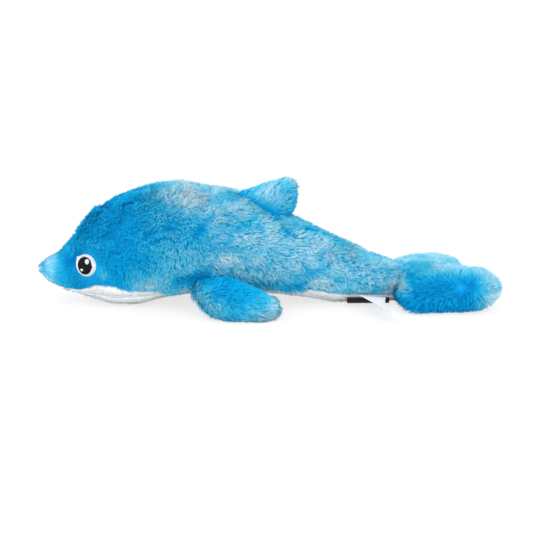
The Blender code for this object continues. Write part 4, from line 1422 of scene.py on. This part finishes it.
def white_where_seen(tree, lit, white, near, far=None):
    """A shader that is plain white to rays that see it, so that it reads as a white backdrop.

    near is the white's share under the toy, and it grows to all of it at the distance far.
    """
    path = add_node(tree, "ShaderNodeLightPath")
    seen = path.outputs["Is Camera Ray"]
    for ray in ("Is Glossy Ray", "Is Transmission Ray"):
        either = add_node(tree, "ShaderNodeMath", {0: seen, 1: path.outputs[ray]}, operation="MAXIMUM")
        seen = either.outputs["Value"]
    amount = near
    if far:
        places = add_node(tree, "ShaderNodeTexCoord").outputs["Object"]
        distance = add_node(tree, "ShaderNodeVectorMath", {0: places}, operation="LENGTH").outputs["Value"]
        reach = {"From Min": far / 4, "From Max": far, "To Min": near, "Value": distance}
        amount = add_node(tree, "ShaderNodeMapRange", reach).outputs["Result"]
    share = add_node(tree, "ShaderNodeMath", {0: seen, 1: amount}, operation="MULTIPLY").outputs["Value"]
    shaders = {"Fac": share, 1: lit.outputs[0], 2: white.outputs[0]}
    return add_node(tree, "ShaderNodeMixShader", shaders).outputs[0]


class PLUSH_OT_stage(bpy.types.Operator):
    """Lay the floor, hang the lamps and set the camera"""

    bl_idname = "plush.set_stage"
    bl_label = "Set the stage"

    def execute(self, context):
        scene = context.scene
        scene.view_settings.view_transform = "Standard"

        bpy.ops.object.select_all(action="DESELECT")
        bpy.ops.mesh.primitive_plane_add(size=FLOOR_SIZE)
        floor = bpy.context.object
        floor.name = "floor"
        material = bpy.data.materials.new("floor_paper")
        material.use_nodes = True
        tree = material.node_tree
        tree.nodes.clear()
        paper = add_node(tree, "ShaderNodeBsdfDiffuse", {"Color": (0.86, 0.86, 0.86, 1)})
        white = add_node(tree, "ShaderNodeEmission", {"Strength": 1.0})
        seen = white_where_seen(tree, paper, white, FLOOR_WHITE, FLOOR_WHITE_FROM)
        add_node(tree, "ShaderNodeOutputMaterial", {"Surface": seen})
        floor.data.materials.append(material)

        scene.world = bpy.data.worlds.new("studio")
        scene.world.use_nodes = True
        tree = scene.world.node_tree
        tree.nodes.clear()
        light = add_node(tree, "ShaderNodeBackground", {"Color": (1, 1, 1, 1), "Strength": WORLD_LIGHT})
        white = add_node(tree, "ShaderNodeBackground", {"Color": (1, 1, 1, 1), "Strength": 1.0})
        add_node(tree, "ShaderNodeOutputWorld", {"Surface": white_where_seen(tree, light, white, 1.0)})

        for name, place, size, power in LAMPS:
            bpy.ops.object.light_add(type="AREA", location=place)
            lamp = bpy.context.object
            lamp.name = name
            lamp.data.size = size
            lamp.data.energy = power
            lamp.rotation_euler = (Vector((0, 0, 0.03)) - Vector(place)).to_track_quat("-Z", "Y").to_euler()

        level = math.cos(CAMERA_UP)
        back = Vector((math.sin(CAMERA_TURN) * level, -math.cos(CAMERA_TURN) * level, math.sin(CAMERA_UP)))
        bpy.ops.object.camera_add(location=Vector((0.0, 0.0, CAMERA_AIM)) + back)
        camera = bpy.context.object
        camera.rotation_euler = (-back).to_track_quat("-Z", "Y").to_euler()
        camera.data.sensor_width = 36.0
        camera.data.lens = 36.0 / PHOTO_WIDTH
        camera.data.shift_x = 0.0002
        camera.data.shift_y = -0.0377
        scene.camera = camera
        return {"FINISHED"}


class PLUSH_PT_panel(bpy.types.Panel):
    """The steps that make the plush dolphin"""

    bl_idname = "PLUSH_PT_panel"
    bl_label = "Plush dolphin"
    bl_space_type = "VIEW_3D"
    bl_region_type = "UI"
    bl_category = "Plush"

    def draw(self, context):
        for group in (context.scene.plush_dyes, context.scene.plush_sizes):
            column = self.layout.column()
            for name in group.__annotations__:
                column.prop(group, name)
        for operator in OPERATORS:
            self.layout.operator(operator.bl_idname)


OPERATORS = (
    PLUSH_OT_stage,
    PLUSH_OT_materials,
    PLUSH_OT_body,
    PLUSH_OT_belly,
    PLUSH_OT_fins,
    PLUSH_OT_filling,
    PLUSH_OT_eyes,
    PLUSH_OT_labels,
)
CLASSES = (PlushDyes, PlushSizes, *OPERATORS, PLUSH_PT_panel)


def register():
    """Adds the classes and the scene's settings."""
    for cls in CLASSES:
        bpy.utils.register_class(cls)
    bpy.types.Scene.plush_dyes = bpy.props.PointerProperty(type=PlushDyes)
    bpy.types.Scene.plush_sizes = bpy.props.PointerProperty(type=PlushSizes)


def unregister():
    """Removes them again."""
    del bpy.types.Scene.plush_sizes
    del bpy.types.Scene.plush_dyes
    for cls in reversed(CLASSES):
        bpy.utils.unregister_class(cls)


def main():
    """Makes every piece, in order."""
    register()
    bpy.ops.plush.set_stage()
    bpy.ops.plush.dye()
    bpy.ops.plush.sew_body()
    bpy.ops.plush.sew_belly()
    bpy.ops.plush.sew_fins()
    bpy.ops.plush.fill()
    bpy.ops.plush.embroider_eyes()
    bpy.ops.plush.sew_labels()


if __name__ == "__main__":
    main()
